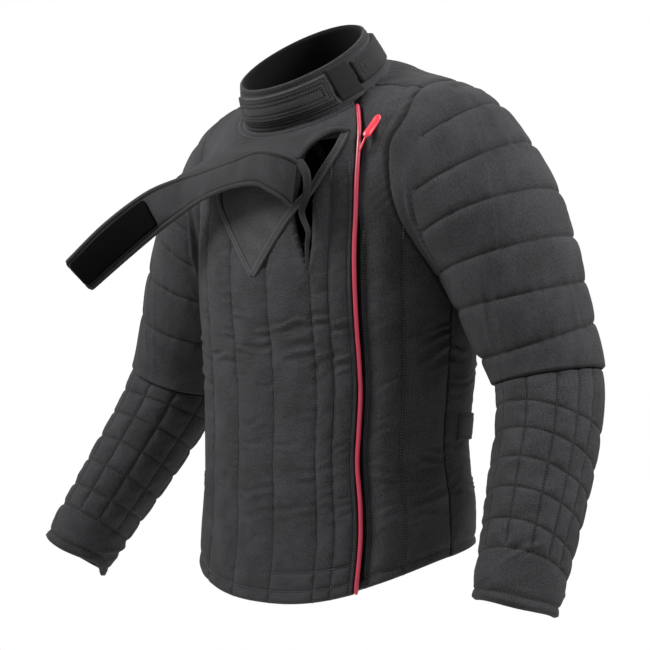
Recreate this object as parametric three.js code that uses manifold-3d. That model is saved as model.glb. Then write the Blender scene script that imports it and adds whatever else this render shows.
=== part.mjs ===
// Padded sparring jacket, as worn: quilted body panels, sleeves, stand collar and an opened throat strap.
// Millimetres, +Z up, front towards -Y, the wearer's left towards +X, origin between the side neck points.
import * as THREE from 'three';
import { mergeVertices } from 'three/addons/utils/BufferGeometryUtils.js';
import Module from 'manifold-3d';

const wasm = await Module();
wasm.setup();

// Driving sizes
const PAD = 8;
const GROOVE = 2.5;
const GAP = 0.3;
const SEAT = 0.8;
const TRIM = 4;
const PATCH = 1.6;
const HEM_PROUD = 0.6;
const LAP_DEGREES = 9;
const LAP_SINK = 11.5;
const LAP_RAMP_DEGREES = 14;
const LAP_SHARE = 0.2;
const PIPING_RADIUS = 2.8;
const PIPING_SIDES = 8;
const STRAP_THICKNESS = 8;
const STRAP_EDGE = 3;
const CUFF_POINT = 16;
const CUFF_POINT_ANGLE = 65;
const CUFF_POINT_HALF_ANGLE = 50;

// Body rings from the hem up: height, backward tilt, front and back dip, half width, front and back depth,
// squareness of the ring, and the angle of the lapping front edge, zero at the centre front
const TORSO = {
  columns: ['z', 'tilt', 'dip', 'halfWidth', 'front', 'back', 'square', 'edge'],
  rows: [
    [-580, 30, 41, 198, -92, 178, 2.3, 39.5],
    [-525, 18, 28, 199, -92, 177, 2.3, 41],
    [-455, 5, 12, 191, -92, 167, 2.3, 41],
    [-375, 0, 5, 193, -94, 170, 2.3, 42],
    [-275, 5, 0, 198, -100, 178, 2.3, 40],
    [-185, 18, 0, 200, -100, 178, 2.3, 39.5],
    [-54, 52, 8, 188, -97, 154, 2.2, 44.5],
    [-14, 57, 8, 140, -92, 122, 2.1, 58],
    [-3, 50, 0, 85, -77, 79, 2.0, 74],
  ],
};
const NECK = TORSO.rows.length - 1;
const HEM_TOP = 0.2;
const HEM_GAP = 0.012;
const LEFT_HEM = 0.06;
const PIPING_TOP = 7.5;
const BODY_STATIONS = [HEM_TOP, 0.7, 1.4, 2.2, 3, 4, 5, 5.5, 6, 6.4, 6.8, 7.2, PIPING_TOP, NECK];

// Collar rings from just above the neck seam to the rim
const COLLAR = {
  columns: ['z', 'tilt', 'dip', 'halfWidth', 'front', 'back', 'square'],
  rows: [
    [2, 50, 0, 93, -88, 85, 2],
    [18, 50, 0, 88, -95, 71, 2],
    [38, 50, 0, 82, -103, 55, 2],
  ],
};
const COLLAR_RIM = COLLAR.rows.length - 1;
const COLLAR_SEAT = { outer: 7.78, inner: 7.97, lift: 1.1 };
const COLLAR_SIDES = 36;
const COLLAR_STAND = [0, 0.7, 1.4, COLLAR_RIM];

// Left arm sections from the sleeve head to the cuff: centre, half sizes across and front to back,
// and how far a ring's outer and front sides rise along the arm
const ARM = {
  columns: ['x', 'y', 'z', 'across', 'deep', 'riseOut', 'riseFront'],
  rows: [
    [122, 54, -70, 36, 62, 0, 0],
    [156, 60, -86, 94, 86, -8, -4],
    [211, 70, -150, 92, 100, -16, -6],
    [260, 74, -220, 86, 93, -18, -8],
    [298, 74, -299, 77, 82, -16, -12],
    [328, 70, -366, 65, 72, -11, -16],
    [348, 40, -432, 62, 64, -4, -4],
    [367, -4, -503, 58, 59, 0, 0],
    [386, -51, -576, 52, 53, 0, 0],
    [397, -79, -622, 49, 50, 0, 0],
  ],
};
const ELBOW = 5;
const WRIST = ARM.rows.length - 1;
const SHOULDER_ROWS = [0, 0.6];
const UPPER_LINES = [1.15, 1.72, 2.38, 3.02, 3.62, 4.35];
const HEAD_SEAM = 2.38;
const FOREARM_LINES = [5.7, 6.2, 6.65, 7.1, 7.55, 8, 8.75];
const SLEEVE_SIDES = 18;
const ELBOW_GAP = 0.008;

// Throat strap from the fold to the free end: its upper edge and its lower edge
const STRAP = {
  columns: ['ux', 'uy', 'uz', 'lx', 'ly', 'lz'],
  rows: [
    [92, -84, -106, 99, -86, -180],
    [84, -118, -94, 84, -122, -168],
    [62, -128, -90, 64, -134, -146],
    [20, -122, -88, 32, -136, -134],
    [-30, -116, -97, -12, -136, -136],
    [-85, -114, -107, -64, -136, -148],
    [-138, -122, -119, -112, -126, -163],
    [-186, -132, -140, -157, -122, -182],
    [-246, -150, -177, -216, -130, -220],
    [-296, -172, -226, -268, -148, -262],
  ],
};
const STRAP_STATIONS = 19;
const STRAP_END = STRAP.rows.length - 1;
const HOOK_START = 7.05;
const HOOK_END = 8.9;
const HOOK_EDGE = 0.17;

// V-shaped bib: its width at each height; throat opening: its outline in X and Z
const BIB = {
  columns: ['z', 'left', 'right'],
  rows: [[-238, -13, -4], [-168, -65, 50], [-140, -74, 52], [-112, -76, 54]],
};
const THROAT_OPENING = [
  [112, -72], [84, -74], [70, -90], [65, -108], [64, -130], [55, -160],
  [62, -190], [80, -238], [86, -205], [86, -150], [97, -110],
];
const THROAT_CUT = { near: -30, far: -150 };

// Quilting lines as shares of each panel's width, from its first edge to its last
const RIGHT_LINES = [0, 0.215, 0.44, 0.595, 0.715, 0.86, 0.92, 0.985, 1];
const LEFT_LINES = [0, LAP_SHARE, 0.28, 0.58, 1];
const ZIP_TAPE_LINES = [0, LAP_SHARE / 2, LAP_SHARE, 0.28];
const BACK_CHANNELS = 6;
const WIDE_CHANNEL = 0.1;
const WIDE_CRESTS = [0.25, 0.75];
const NARROW_CREST = [0.5];
const SEAM_GAP = 0.25;

// Finishes
const CLOTH = { color: '#3f3f41', roughness: 0.92, metalness: 0 };
const SLEEVE_CLOTH = { color: '#3b3b3d', roughness: 0.92, metalness: 0 };
const BLACK_TAPE = { color: '#0c0c0d', roughness: 0.95, metalness: 0 };
const PILE = { color: '#141415', roughness: 1, metalness: 0 };
const RED_CORD = { color: '#d0485c', roughness: 0.55, metalness: 0 };
const RED_RUBBER = { color: '#e0434f', roughness: 0.4, metalness: 0 };

// Trim on the collar: its angles from the centre front, its heights on the stand, thickness and finish
const COLLAR_TRIMS = {
  collar_front_tab: { from: -30, to: 61, low: 0, high: 1.5, thickness: TRIM, finish: CLOTH },
  collar_side_patch: { from: 63, to: 83, low: 0, high: 1.7, thickness: PATCH, finish: PILE },
  collar_back_strap: { from: 85, to: 148, low: 0.1, high: 1.4, thickness: TRIM, finish: CLOTH },
  collar_back_patch: { from: 150, to: 166, low: 0.1, high: 1.5, thickness: PATCH, finish: PILE },
};

// Fineness of the surfaces
const INDEX_STEP = 0.05;
const ARM_INDEX_STEP = 0.02;
const HALVINGS = 30;
const TRIM_COLUMNS = 9;
const PATCH_STATIONS = 5;
const BIB_STATIONS = 7;
const TAB_COLUMNS = 7;
const CORD_SIDES = 8;
const GRIP_CAP_RINGS = 4;
const GRIP_SIDES = 10;

const radians = THREE.MathUtils.degToRad;
const spread = (from, to, count) =>
  Array.from({ length: count }, (_, k) => THREE.MathUtils.lerp(from, to, k / (count - 1)));

// One row of a table at a fractional index, on a smooth curve through its rows
function sample(table, index) {
  const last = table.rows.length - 1;
  const t = THREE.MathUtils.clamp(index, 0, last);
  const k = Math.min(Math.floor(t), last - 1);
  const f = t - k;
  const row = {};
  table.columns.forEach((name, c) => {
    const at = (i) => table.rows[i][c];
    const before = k > 0 ? at(k - 1) : 2 * at(0) - at(1);
    const after = k + 2 <= last ? at(k + 2) : 2 * at(last) - at(last - 1);
    const [p, q] = [at(k), at(k + 1)];
    const linear = q - before;
    const square = 2 * before - 5 * p + 4 * q - after;
    const cube = 3 * p - before - 3 * q + after;
    row[name] = 0.5 * (2 * p + linear * f + square * f * f + cube * f ** 3);
  });
  return row;
}

const rounded = (value, square) => Math.sign(value) * Math.abs(value) ** (2 / square);

// Point of a squared, tilted and dipped ring at an angle from the centre front
function ringPoint(ring, degrees) {
  const sine = Math.sin(radians(degrees));
  const cosine = Math.cos(radians(degrees));
  const middle = (ring.front + ring.back) / 2;
  const reach = (ring.back - ring.front) / 2;
  return new THREE.Vector3(
    ring.halfWidth * rounded(sine, ring.square),
    middle - reach * rounded(cosine, ring.square),
    ring.z - ring.tilt * cosine - ring.dip * cosine * cosine,
  );
}

// Point of a ring surface moved out along its normal
function surfacePoint(table, degrees, index, offset) {
  const last = table.rows.length - 1;
  const above = Math.min(index + INDEX_STEP, last);
  const below = Math.max(index - INDEX_STEP, 0);
  const place = (d, i) => ringPoint(sample(table, i), d);
  const around = place(degrees + 1, index).sub(place(degrees - 1, index));
  const up = place(degrees, above).sub(place(degrees, below));
  const normal = around.cross(up).normalize();
  return place(degrees, index).addScaledVector(normal, offset);
}

const bodyPoint = (degrees, index, offset) => surfacePoint(TORSO, degrees, index, offset);
const collarPoint = (degrees, index, offset) => surfacePoint(COLLAR, degrees, index, offset);
const edgeAt = (index) => sample(TORSO, index).edge;

// Angle that keeps a panel half a seam gap from the side line
function seamAngle(index) {
  const ring = sample(TORSO, index);
  const reach = (ring.back - ring.front) / 2;
  return THREE.MathUtils.radToDeg(Math.asin((SEAM_GAP / reach) ** (ring.square / 2)));
}

// Point of the front surface above a place in X and Z
function frontPoint(x, z, offset) {
  let [low, high] = [0, NECK];
  let degrees = 0;
  for (let step = 0; step < HALVINGS; step += 1) {
    const index = (low + high) / 2;
    const ring = sample(TORSO, index);
    const share = Math.min(Math.abs(x) / ring.halfWidth, 1) ** (ring.square / 2);
    degrees = THREE.MathUtils.radToDeg(Math.asin(share)) * Math.sign(x);
    if (ringPoint(ring, degrees).z < z) low = index;
    else high = index;
  }
  return bodyPoint(degrees, low, offset);
}

// Point of a sleeve at an angle from its outer side towards the back; side is 1 for left and -1 for right
function sleevePoint(side, degrees, index, offset, slide = 0) {
  const centre = (i) => {
    const row = sample(ARM, i);
    return new THREE.Vector3(row.x, row.y, row.z);
  };
  const row = sample(ARM, index);
  const after = centre(Math.min(index + ARM_INDEX_STEP, WRIST));
  const along = after.sub(centre(Math.max(index - ARM_INDEX_STEP, 0))).normalize();
  const back = new THREE.Vector3(0, 1, 0).addScaledVector(along, -along.y).normalize();
  const out = along.clone().cross(back).normalize();
  const cosine = Math.cos(radians(degrees));
  const sine = Math.sin(radians(degrees));
  const point = centre(index)
    .addScaledVector(out, (row.across + offset) * cosine)
    .addScaledVector(back, (row.deep + offset) * sine)
    .addScaledVector(along, slide - row.riseOut * cosine + row.riseFront * sine);
  point.x *= side;
  return point;
}

// Closed geometry from a list of points and faces, turned to face outwards
function closedGeometry(points, faces) {
  const volume = faces.reduce((sum, [a, b, c]) => {
    const cross = points[b].clone().cross(points[c]);
    return sum + points[a].dot(cross);
  }, 0);
  const turned = volume > 0 ? faces : faces.map(([a, b, c]) => [a, c, b]);
  const geometry = new THREE.BufferGeometry();
  geometry.setFromPoints(points);
  geometry.setIndex(turned.flat());
  return geometry;
}

// Wall between two grids of points of the same shape; a ring wall closes on itself along each row
function wall(outer, inner, ring = false) {
  const rows = outer.length;
  const columns = outer[0].length;
  const points = [...outer.flat(), ...inner.flat()];
  const at = (face, j, i) => face * rows * columns + j * columns + (i % columns);
  const faces = [];
  const quad = (a, b, c, d) => faces.push([a, b, c], [a, c, d]);
  const spans = ring ? columns : columns - 1;
  for (let j = 0; j < rows - 1; j += 1) {
    for (let i = 0; i < spans; i += 1) {
      quad(at(0, j, i), at(0, j, i + 1), at(0, j + 1, i + 1), at(0, j + 1, i));
      quad(at(1, j, i), at(1, j + 1, i), at(1, j + 1, i + 1), at(1, j, i + 1));
    }
  }
  for (let i = 0; i < spans; i += 1) {
    quad(at(1, 0, i), at(1, 0, i + 1), at(0, 0, i + 1), at(0, 0, i));
    quad(at(0, rows - 1, i), at(0, rows - 1, i + 1), at(1, rows - 1, i + 1), at(1, rows - 1, i));
  }
  if (!ring) {
    for (let j = 0; j < rows - 1; j += 1) {
      quad(at(0, j, 0), at(0, j + 1, 0), at(1, j + 1, 0), at(1, j, 0));
      quad(at(1, j, spans), at(1, j + 1, spans), at(0, j + 1, spans), at(0, j, spans));
    }
  }
  return closedGeometry(points, faces);
}

// Solid through a list of rings, closed by a fan at each end
function loft(rings) {
  const sides = rings[0].length;
  const points = rings.flat();
  const faces = [];
  const at = (j, i) => j * sides + (i % sides);
  for (let j = 0; j < rings.length - 1; j += 1) {
    for (let i = 0; i < sides; i += 1) {
      faces.push([at(j, i), at(j, i + 1), at(j + 1, i + 1)], [at(j, i), at(j + 1, i + 1), at(j + 1, i)]);
    }
  }
  const middle = (ring) => ring.reduce((sum, p) => sum.add(p), new THREE.Vector3()).divideScalar(sides);
  const first = points.push(middle(rings[0])) - 1;
  const final = points.push(middle(rings.at(-1))) - 1;
  for (let i = 0; i < sides; i += 1) {
    faces.push([first, at(0, i + 1), at(0, i)]);
    faces.push([final, at(rings.length - 1, i), at(rings.length - 1, i + 1)]);
  }
  return closedGeometry(points, faces);
}

// Grid of points from two lists of parameters
const grid = (rows, columns, place) => rows.map((row) => columns.map((column) => place(column, row)));

function solidOf(geometry) {
  const bare = geometry.clone();
  bare.deleteAttribute('normal');
  bare.deleteAttribute('uv');
  const merged = mergeVertices(bare);
  return new wasm.Manifold(new wasm.Mesh({
    numProp: 3,
    vertProperties: new Float32Array(merged.attributes.position.array),
    triVerts: new Uint32Array(merged.index.array),
  }));
}

function geometryOf(solid) {
  const mesh = solid.getMesh();
  const geometry = new THREE.BufferGeometry();
  geometry.setAttribute('position', new THREE.BufferAttribute(new Float32Array(mesh.vertProperties), 3));
  geometry.setIndex(new THREE.BufferAttribute(new Uint32Array(mesh.triVerts), 1));
  return geometry;
}

const jacket = new THREE.Group();

function addPiece(name, shape, finish) {
  const geometry = shape.isBufferGeometry ? shape : geometryOf(shape);
  const flat = geometry.toNonIndexed();
  flat.computeVertexNormals();
  const mesh = new THREE.Mesh(flat, new THREE.MeshStandardMaterial(finish));
  mesh.name = name;
  jacket.add(mesh);
}

// Columns of a quilted panel: each stitched line is a groove between fuller columns
function quiltColumns(lines) {
  const columns = [];
  lines.slice(0, -1).forEach((line, k) => {
    const width = lines[k + 1] - line;
    const crests = width > WIDE_CHANNEL ? WIDE_CRESTS : NARROW_CREST;
    columns.push({ share: line, depth: GROOVE });
    crests.forEach((part) => columns.push({ share: line + part * width, depth: 0 }));
  });
  columns.push({ share: 1, depth: GROOVE });
  return columns;
}

// Body panels: first and last edge angle at each height, columns, and how far a panel lies below the body
const lapSink = (degrees, index) => {
  const beyond = (degrees - edgeAt(index)) / LAP_RAMP_DEGREES;
  return LAP_SINK * (1 - THREE.MathUtils.smoothstep(beyond, 0, 1));
};
const PANELS = {
  front_right: {
    first: (index) => -90 + seamAngle(index),
    last: edgeAt,
    lines: RIGHT_LINES,
    sink: () => 0,
    hem: 0,
  },
  front_left: {
    first: (index) => edgeAt(index) - LAP_DEGREES,
    last: (index) => 90 - seamAngle(index),
    lines: LEFT_LINES,
    sink: lapSink,
    hem: LEFT_HEM,
    laps: true,
  },
  back_panel: {
    first: (index) => 90 + seamAngle(index),
    last: (index) => 270 - seamAngle(index),
    lines: spread(0, 1, BACK_CHANNELS + 1),
    sink: () => 0,
    hem: 0,
  },
};

// The left panel's first share lies under the lap, up to the lapping edge
function panelAngle(panel, share, index) {
  const [first, last] = [panel.first(index), panel.last(index)];
  if (!panel.laps) return THREE.MathUtils.lerp(first, last, share);
  const edge = edgeAt(index);
  if (share <= LAP_SHARE) return THREE.MathUtils.lerp(first, edge, share / LAP_SHARE);
  return THREE.MathUtils.lerp(edge, last, (share - LAP_SHARE) / (1 - LAP_SHARE));
}

function panelPoint(panel, column, index, offset) {
  const degrees = panelAngle(panel, column.share, index);
  return bodyPoint(degrees, index, offset - column.depth - panel.sink(degrees, index));
}

function panelWall(panel, columns, stations, outside, inside) {
  const smooth = columns.map((column) => ({ ...column, depth: 0 }));
  return wall(
    grid(stations, columns, (column, index) => panelPoint(panel, column, index, outside)),
    grid(stations, smooth, (column, index) => panelPoint(panel, column, index, inside)),
  );
}

// Filled body, a clearance outside the panels, which the sleeves and the collar sit on
function filledBody() {
  const columns = Object.values(PANELS).flatMap((panel) =>
    quiltColumns(panel.lines).map((column) => ({ ...column, panel })));
  const around = columns.filter(({ panel, share }) => !panel.laps || share > LAP_SHARE);
  return solidOf(loft(BODY_STATIONS.map((index) =>
    around.map((column) => panelPoint({ ...column.panel, sink: () => 0 }, column, index, GAP)))));
}

// Sleeve rows between two indexes: ring lines are grooves with a full row between them
function ringRows(from, to, lines) {
  const inside = lines.filter((line) => line > from && line < to);
  const edges = [from, ...inside, to];
  return edges.flatMap((index, k) => {
    const groove = { index, depth: GROOVE };
    return k === 0 ? [groove] : [{ index: (edges[k - 1] + index) / 2, depth: 0 }, groove];
  });
}

const turn = (sides) => spread(0, 360, sides + 1).slice(0, -1);

// Extra length of the cuff at the back of the wrist
function cuffSlide(degrees, index) {
  const reach = Math.abs(degrees - CUFF_POINT_ANGLE) / CUFF_POINT_HALF_ANGLE;
  const lobe = 1 - THREE.MathUtils.smoothstep(reach, 0, 1);
  const near = THREE.MathUtils.smoothstep(index, WRIST - 1, WRIST);
  return CUFF_POINT * lobe * near;
}

// The upper sleeve is a head over the shoulder and a straight part down to the elbow
function upperSleeve(side) {
  const angles = turn(SLEEVE_SIDES);
  const shoulder = SHOULDER_ROWS.map((index) => ({ index, depth: 0 }));
  const head = [...shoulder, ...ringRows(UPPER_LINES[0], HEAD_SEAM - ELBOW_GAP, UPPER_LINES)];
  const arm = ringRows(HEAD_SEAM + ELBOW_GAP, ELBOW - ELBOW_GAP, UPPER_LINES);
  const place = (depth) => (angle, row) => sleevePoint(side, angle, row.index, -depth(row));
  const outside = (rows) => grid(rows, angles, place((row) => row.depth));
  const inside = (rows) => grid(rows, angles, place(() => PAD));
  return {
    head: solidOf(wall(outside(head), inside(head), true)),
    arm: solidOf(wall(outside(arm), inside(arm), true)),
    hollow: solidOf(loft(inside([...head, ...arm]))),
  };
}

function lowerSleeve(side) {
  const angles = turn(SLEEVE_SIDES);
  const place = (offset) => (angle, row) => {
    const line = angle % (720 / SLEEVE_SIDES) === 0 ? GROOVE / 2 : 0;
    const sunk = offset === 0 ? Math.max(row.depth, line) : 0;
    return sleevePoint(side, angle, row.index, offset - sunk, cuffSlide(angle, row.index));
  };
  const rows = ringRows(ELBOW + ELBOW_GAP, WRIST, FOREARM_LINES);
  return wall(grid(rows, angles, place(0)), grid(rows, angles, place(-PAD)), true);
}

// Stand collar whose lower edge follows the neck of the body
function collarWall() {
  const angles = turn(COLLAR_SIDES);
  const side = (seat, offset) => [
    angles.map((angle) => bodyPoint(angle, seat, COLLAR_SEAT.lift)),
    ...grid(COLLAR_STAND, angles, (angle, row) => collarPoint(angle, row, offset)),
  ];
  return wall(side(COLLAR_SEAT.outer, 0), side(COLLAR_SEAT.inner, -PAD), true);
}

// Stretch of trim lying on the collar
function collarTrim({ from, to, low, high, thickness }) {
  const angles = spread(from, to, TRIM_COLUMNS);
  const heights = [low, (low + high) / 2, high];
  return wall(
    grid(heights, angles, (angle, height) => collarPoint(angle, height, SEAT + thickness)),
    grid(heights, angles, (angle, height) => collarPoint(angle, height, SEAT)),
  );
}

// Section of the strap across its width at one station, and a point at a share of that width
function strapFrame(index) {
  const at = (i) => {
    const row = sample(STRAP, i);
    return {
      upper: new THREE.Vector3(row.ux, row.uy, row.uz),
      lower: new THREE.Vector3(row.lx, row.ly, row.lz),
    };
  };
  const here = at(index);
  const next = at(Math.min(index + INDEX_STEP, STRAP_END));
  const last = at(Math.max(index - INDEX_STEP, 0));
  const along = next.upper.add(next.lower).sub(last.upper).sub(last.lower);
  const across = here.lower.clone().sub(here.upper);
  return { ...here, normal: across.cross(along).normalize() };
}

function strapPoint(index, share, offset) {
  const frame = strapFrame(index);
  return frame.upper.clone().lerp(frame.lower, share).addScaledVector(frame.normal, offset);
}

const strapHalf = (share) => THREE.MathUtils.lerp(STRAP_EDGE, STRAP_THICKNESS, Math.sin(Math.PI * share)) / 2;

function throatStrap() {
  const stations = spread(0, STRAP_END, STRAP_STATIONS);
  const shares = [0, HOOK_EDGE, 0.5, 1 - HOOK_EDGE, 1];
  return wall(
    grid(stations, shares, (share, index) => strapPoint(index, share, strapHalf(share))),
    grid(stations, shares, (share, index) => strapPoint(index, share, -strapHalf(share))),
  );
}

// Hook patch on the strap's shown face, near the free end
function hookPatch() {
  const stations = spread(HOOK_START, HOOK_END, PATCH_STATIONS);
  const shares = [HOOK_EDGE, 0.5, 1 - HOOK_EDGE];
  const above = (extra) => (share, index) => strapPoint(index, share, -strapHalf(share) - extra);
  return wall(grid(stations, shares, above(SEAT + PATCH)), grid(stations, shares, above(SEAT)));
}

function throatBib() {
  const shares = spread(0, 1, BIB_STATIONS);
  const place = (offset) => (share, row) => {
    const x = THREE.MathUtils.lerp(row.left, row.right, share);
    return frontPoint(x, row.z, offset);
  };
  const stations = spread(0, BIB.rows.length - 1, BIB_STATIONS).map((index) => sample(BIB, index));
  return wall(grid(stations, shares, place(TRIM)), grid(stations, shares, place(-GROOVE)));
}

function throatCutter() {
  const outline = new THREE.Shape(THROAT_OPENING.map(([x, z]) => new THREE.Vector2(x, z)));
  const depth = THROAT_CUT.near - THROAT_CUT.far;
  const geometry = new THREE.ExtrudeGeometry(outline, { depth, bevelEnabled: false });
  geometry.rotateX(Math.PI / 2);
  geometry.translate(0, THROAT_CUT.near, 0);
  return solidOf(geometry);
}

// Cord sewn along the lapping edge, level with the middle of the padding
function edgePiping() {
  const stations = [0, ...BODY_STATIONS.filter((index) => index <= PIPING_TOP)];
  return loft(stations.map((index) => {
    const edge = edgeAt(index);
    const middle = bodyPoint(edge, index, -PAD / 2);
    const below = bodyPoint(edge, Math.max(index - INDEX_STEP, 0), 0);
    const along = bodyPoint(edge, Math.min(index + INDEX_STEP, NECK), 0).sub(below);
    const out = bodyPoint(edge, index, 1).sub(bodyPoint(edge, index, 0)).normalize();
    const side = along.cross(out).normalize();
    const centre = middle.addScaledVector(side, PIPING_RADIUS + SEAT);
    return turn(PIPING_SIDES).map((angle) => centre.clone()
      .addScaledVector(side, PIPING_RADIUS * Math.cos(radians(angle)))
      .addScaledVector(out, PIPING_RADIUS * Math.sin(radians(angle))));
  }));
}

// Zip puller: a flat rubber grip on a short cord, lying on the left panel
const PULLER = {
  tip: [146, -56], root: [142, -75], slider: [138, -92],
  gripRadius: 4.5, gripFlatness: 0.6, cordRadius: 1.3, gripLift: 3.1, sliderLift: 0.2,
};
function zipPuller() {
  const tip = frontPoint(...PULLER.tip, PULLER.gripLift);
  const root = frontPoint(...PULLER.root, PULLER.gripLift);
  const slider = frontPoint(...PULLER.slider, PULLER.sliderLift);
  const normal = frontPoint(...PULLER.tip, 1).sub(frontPoint(...PULLER.tip, 0));
  const grip = new THREE.CapsuleGeometry(PULLER.gripRadius, tip.distanceTo(root), GRIP_CAP_RINGS, GRIP_SIDES);
  grip.scale(1, 1, PULLER.gripFlatness);
  const reach = root.distanceTo(slider);
  const cord = new THREE.CylinderGeometry(PULLER.cordRadius, PULLER.cordRadius, reach, CORD_SIDES);
  const place = (geometry, from, to) => {
    const along = to.clone().sub(from).normalize();
    const side = along.clone().cross(normal).normalize();
    const basis = new THREE.Matrix4().makeBasis(side, along, side.clone().cross(along));
    geometry.applyMatrix4(basis.setPosition(from.clone().lerp(to, 0.5)));
    return solidOf(geometry);
  };
  return place(grip, root, tip).add(place(cord, slider, root));
}

// Adjuster tab lying on the side of the back panel at the waist
const WAIST_TAB = { from: 97, to: 133, low: 2.1, high: 2.55 };
function waistTab() {
  const angles = spread(WAIST_TAB.from, WAIST_TAB.to, TAB_COLUMNS);
  const heights = [WAIST_TAB.low, WAIST_TAB.high];
  return wall(
    grid(heights, angles, (angle, index) => bodyPoint(angle, index, TRIM)),
    grid(heights, angles, (angle, index) => bodyPoint(angle, index, -GROOVE)),
  );
}

const body = filledBody();
const sleeves = { left: upperSleeve(1), right: upperSleeve(-1) };
const armholes = sleeves.left.hollow.add(sleeves.right.hollow);

Object.entries(PANELS).forEach(([name, panel]) => {
  const columns = quiltColumns(panel.lines);
  const whole = solidOf(panelWall(panel, columns, BODY_STATIONS, 0, -PAD)).subtract(armholes);
  addPiece(name, name === 'front_right' ? whole.subtract(throatCutter()) : whole, CLOTH);
  const hemStations = [panel.hem, HEM_TOP - HEM_GAP];
  const plain = columns.map((column) => ({ ...column, depth: 0 }));
  addPiece(`hem_${name}`, panelWall(panel, plain, hemStations, HEM_PROUD, -PAD - HEM_PROUD), CLOTH);
});

Object.entries(sleeves).forEach(([side, sleeve]) => {
  addPiece(`sleeve_head_${side}`, sleeve.head.subtract(body), SLEEVE_CLOTH);
  addPiece(`sleeve_upper_${side}`, sleeve.arm.subtract(body), SLEEVE_CLOTH);
  addPiece(`sleeve_lower_${side}`, lowerSleeve(side === 'left' ? 1 : -1), SLEEVE_CLOTH);
});

addPiece('collar', solidOf(collarWall()).subtract(body), CLOTH);
Object.entries(COLLAR_TRIMS).forEach(([name, trim]) => addPiece(name, collarTrim(trim), trim.finish));

addPiece('throat_bib', solidOf(throatBib()).subtract(body), CLOTH);
addPiece('throat_strap', solidOf(throatStrap()).subtract(body), CLOTH);
addPiece('strap_hook_patch', hookPatch(), PILE);
addPiece('edge_piping', edgePiping(), RED_CORD);
const tapeColumns = ZIP_TAPE_LINES.map((share) => ({ share, depth: 0 }));
const tapeStations = BODY_STATIONS.filter((index) => index <= PIPING_TOP);
addPiece('zip_tape', panelWall(PANELS.front_left, tapeColumns, tapeStations, SEAT + PATCH, SEAT), BLACK_TAPE);
addPiece('zip_puller', zipPuller(), RED_RUBBER);
addPiece('waist_tab', solidOf(waistTab()).subtract(body), CLOTH);

export default jacket;
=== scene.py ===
"""Looks of a padded sparring jacket: quilted body, sleeves, stand collar, throat flap and trim.

Metres, +Z up, front towards -Y, the wearer's left towards +X, origin between the side neck points.
"""

from __future__ import annotations

import logging
import math
from dataclasses import dataclass, field
from enum import Enum
from typing import Any

import bpy
import numpy as np
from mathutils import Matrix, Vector

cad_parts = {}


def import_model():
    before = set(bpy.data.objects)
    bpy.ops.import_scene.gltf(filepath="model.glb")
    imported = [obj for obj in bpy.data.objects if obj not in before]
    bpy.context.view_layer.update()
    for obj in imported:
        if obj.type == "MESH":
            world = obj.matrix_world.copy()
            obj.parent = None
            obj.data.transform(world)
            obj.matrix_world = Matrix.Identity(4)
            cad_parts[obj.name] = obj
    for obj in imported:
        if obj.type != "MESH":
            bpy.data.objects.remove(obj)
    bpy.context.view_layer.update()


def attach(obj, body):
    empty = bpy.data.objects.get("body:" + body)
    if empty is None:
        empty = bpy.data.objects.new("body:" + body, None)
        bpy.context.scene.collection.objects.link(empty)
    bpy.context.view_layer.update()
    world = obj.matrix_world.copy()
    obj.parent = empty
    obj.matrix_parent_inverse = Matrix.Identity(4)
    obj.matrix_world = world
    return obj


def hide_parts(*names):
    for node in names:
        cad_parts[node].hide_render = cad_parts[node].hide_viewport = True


LOG = logging.getLogger("jacket")
Array = np.ndarray
Socket = bpy.types.NodeSocket
Tree = bpy.types.NodeTree
Pair = tuple[float, float]
Triple = tuple[float, float, float]
Table = tuple[tuple[float, ...], ...]
MM = 0.001
# Distance that counts as far from any sewn line
FAR = 50 * MM
# Thickness of the padding, of a sewn-on tab, and of a patch or tape, and the gap under what is sewn on
PAD = 8 * MM
TRIM = 5 * MM
PATCH = 1.6 * MM
SEAT = 0.8 * MM
# Steps between two rows of a short table when a line is drawn through it
FINE_STEPS = 40
ROOT = "root"
CLOTH_UV = "cloth"
LINE = "line_distance"
OUTSIDE, INSIDE = 0, 1


class Side(Enum):
    """The wearer's side that a sleeve belongs to, as the sign of its X."""

    LEFT = 1
    RIGHT = -1


class Panel(Enum):
    """The three quilted panels of the body, by the CAD node that each stands for."""

    FRONT_RIGHT = "front_right"
    FRONT_LEFT = "front_left"
    BACK = "back_panel"


class Slot(Enum):
    """Material slots of the record."""

    CLOTH = "quilted_cloth"
    HOOK_AND_LOOP = "hook_and_loop"
    PIPING = "red_piping"
    RUBBER = "red_rubber"
    ZIP = "zip_tape"


# Small working functions


def linear(code: str) -> tuple[float, float, float, float]:
    """Turns an sRGB hex colour into linear red, green, blue and an alpha of one."""
    parts = [int(code[k : k + 2], 16) / 255 for k in (1, 3, 5)]
    bent = [p / 12.92 if p <= 0.04045 else ((p + 0.055) / 1.055) ** 2.4 for p in parts]
    return (*bent, 1.0)


def smooth_step(value: Array, low: float, high: float) -> Array:
    """Eases from 0 below low to 1 above high, by 3s squared less 2s cubed."""
    share = np.clip((value - low) / (high - low), 0, 1)
    return share * share * (3 - 2 * share)


def window(value: Array, low: float, high: float, ease: float) -> Array:
    """One between low and high, eased to zero over a length outside them."""
    return smooth_step(value, low - ease, low) * (1 - smooth_step(value, high, high + ease))


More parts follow.
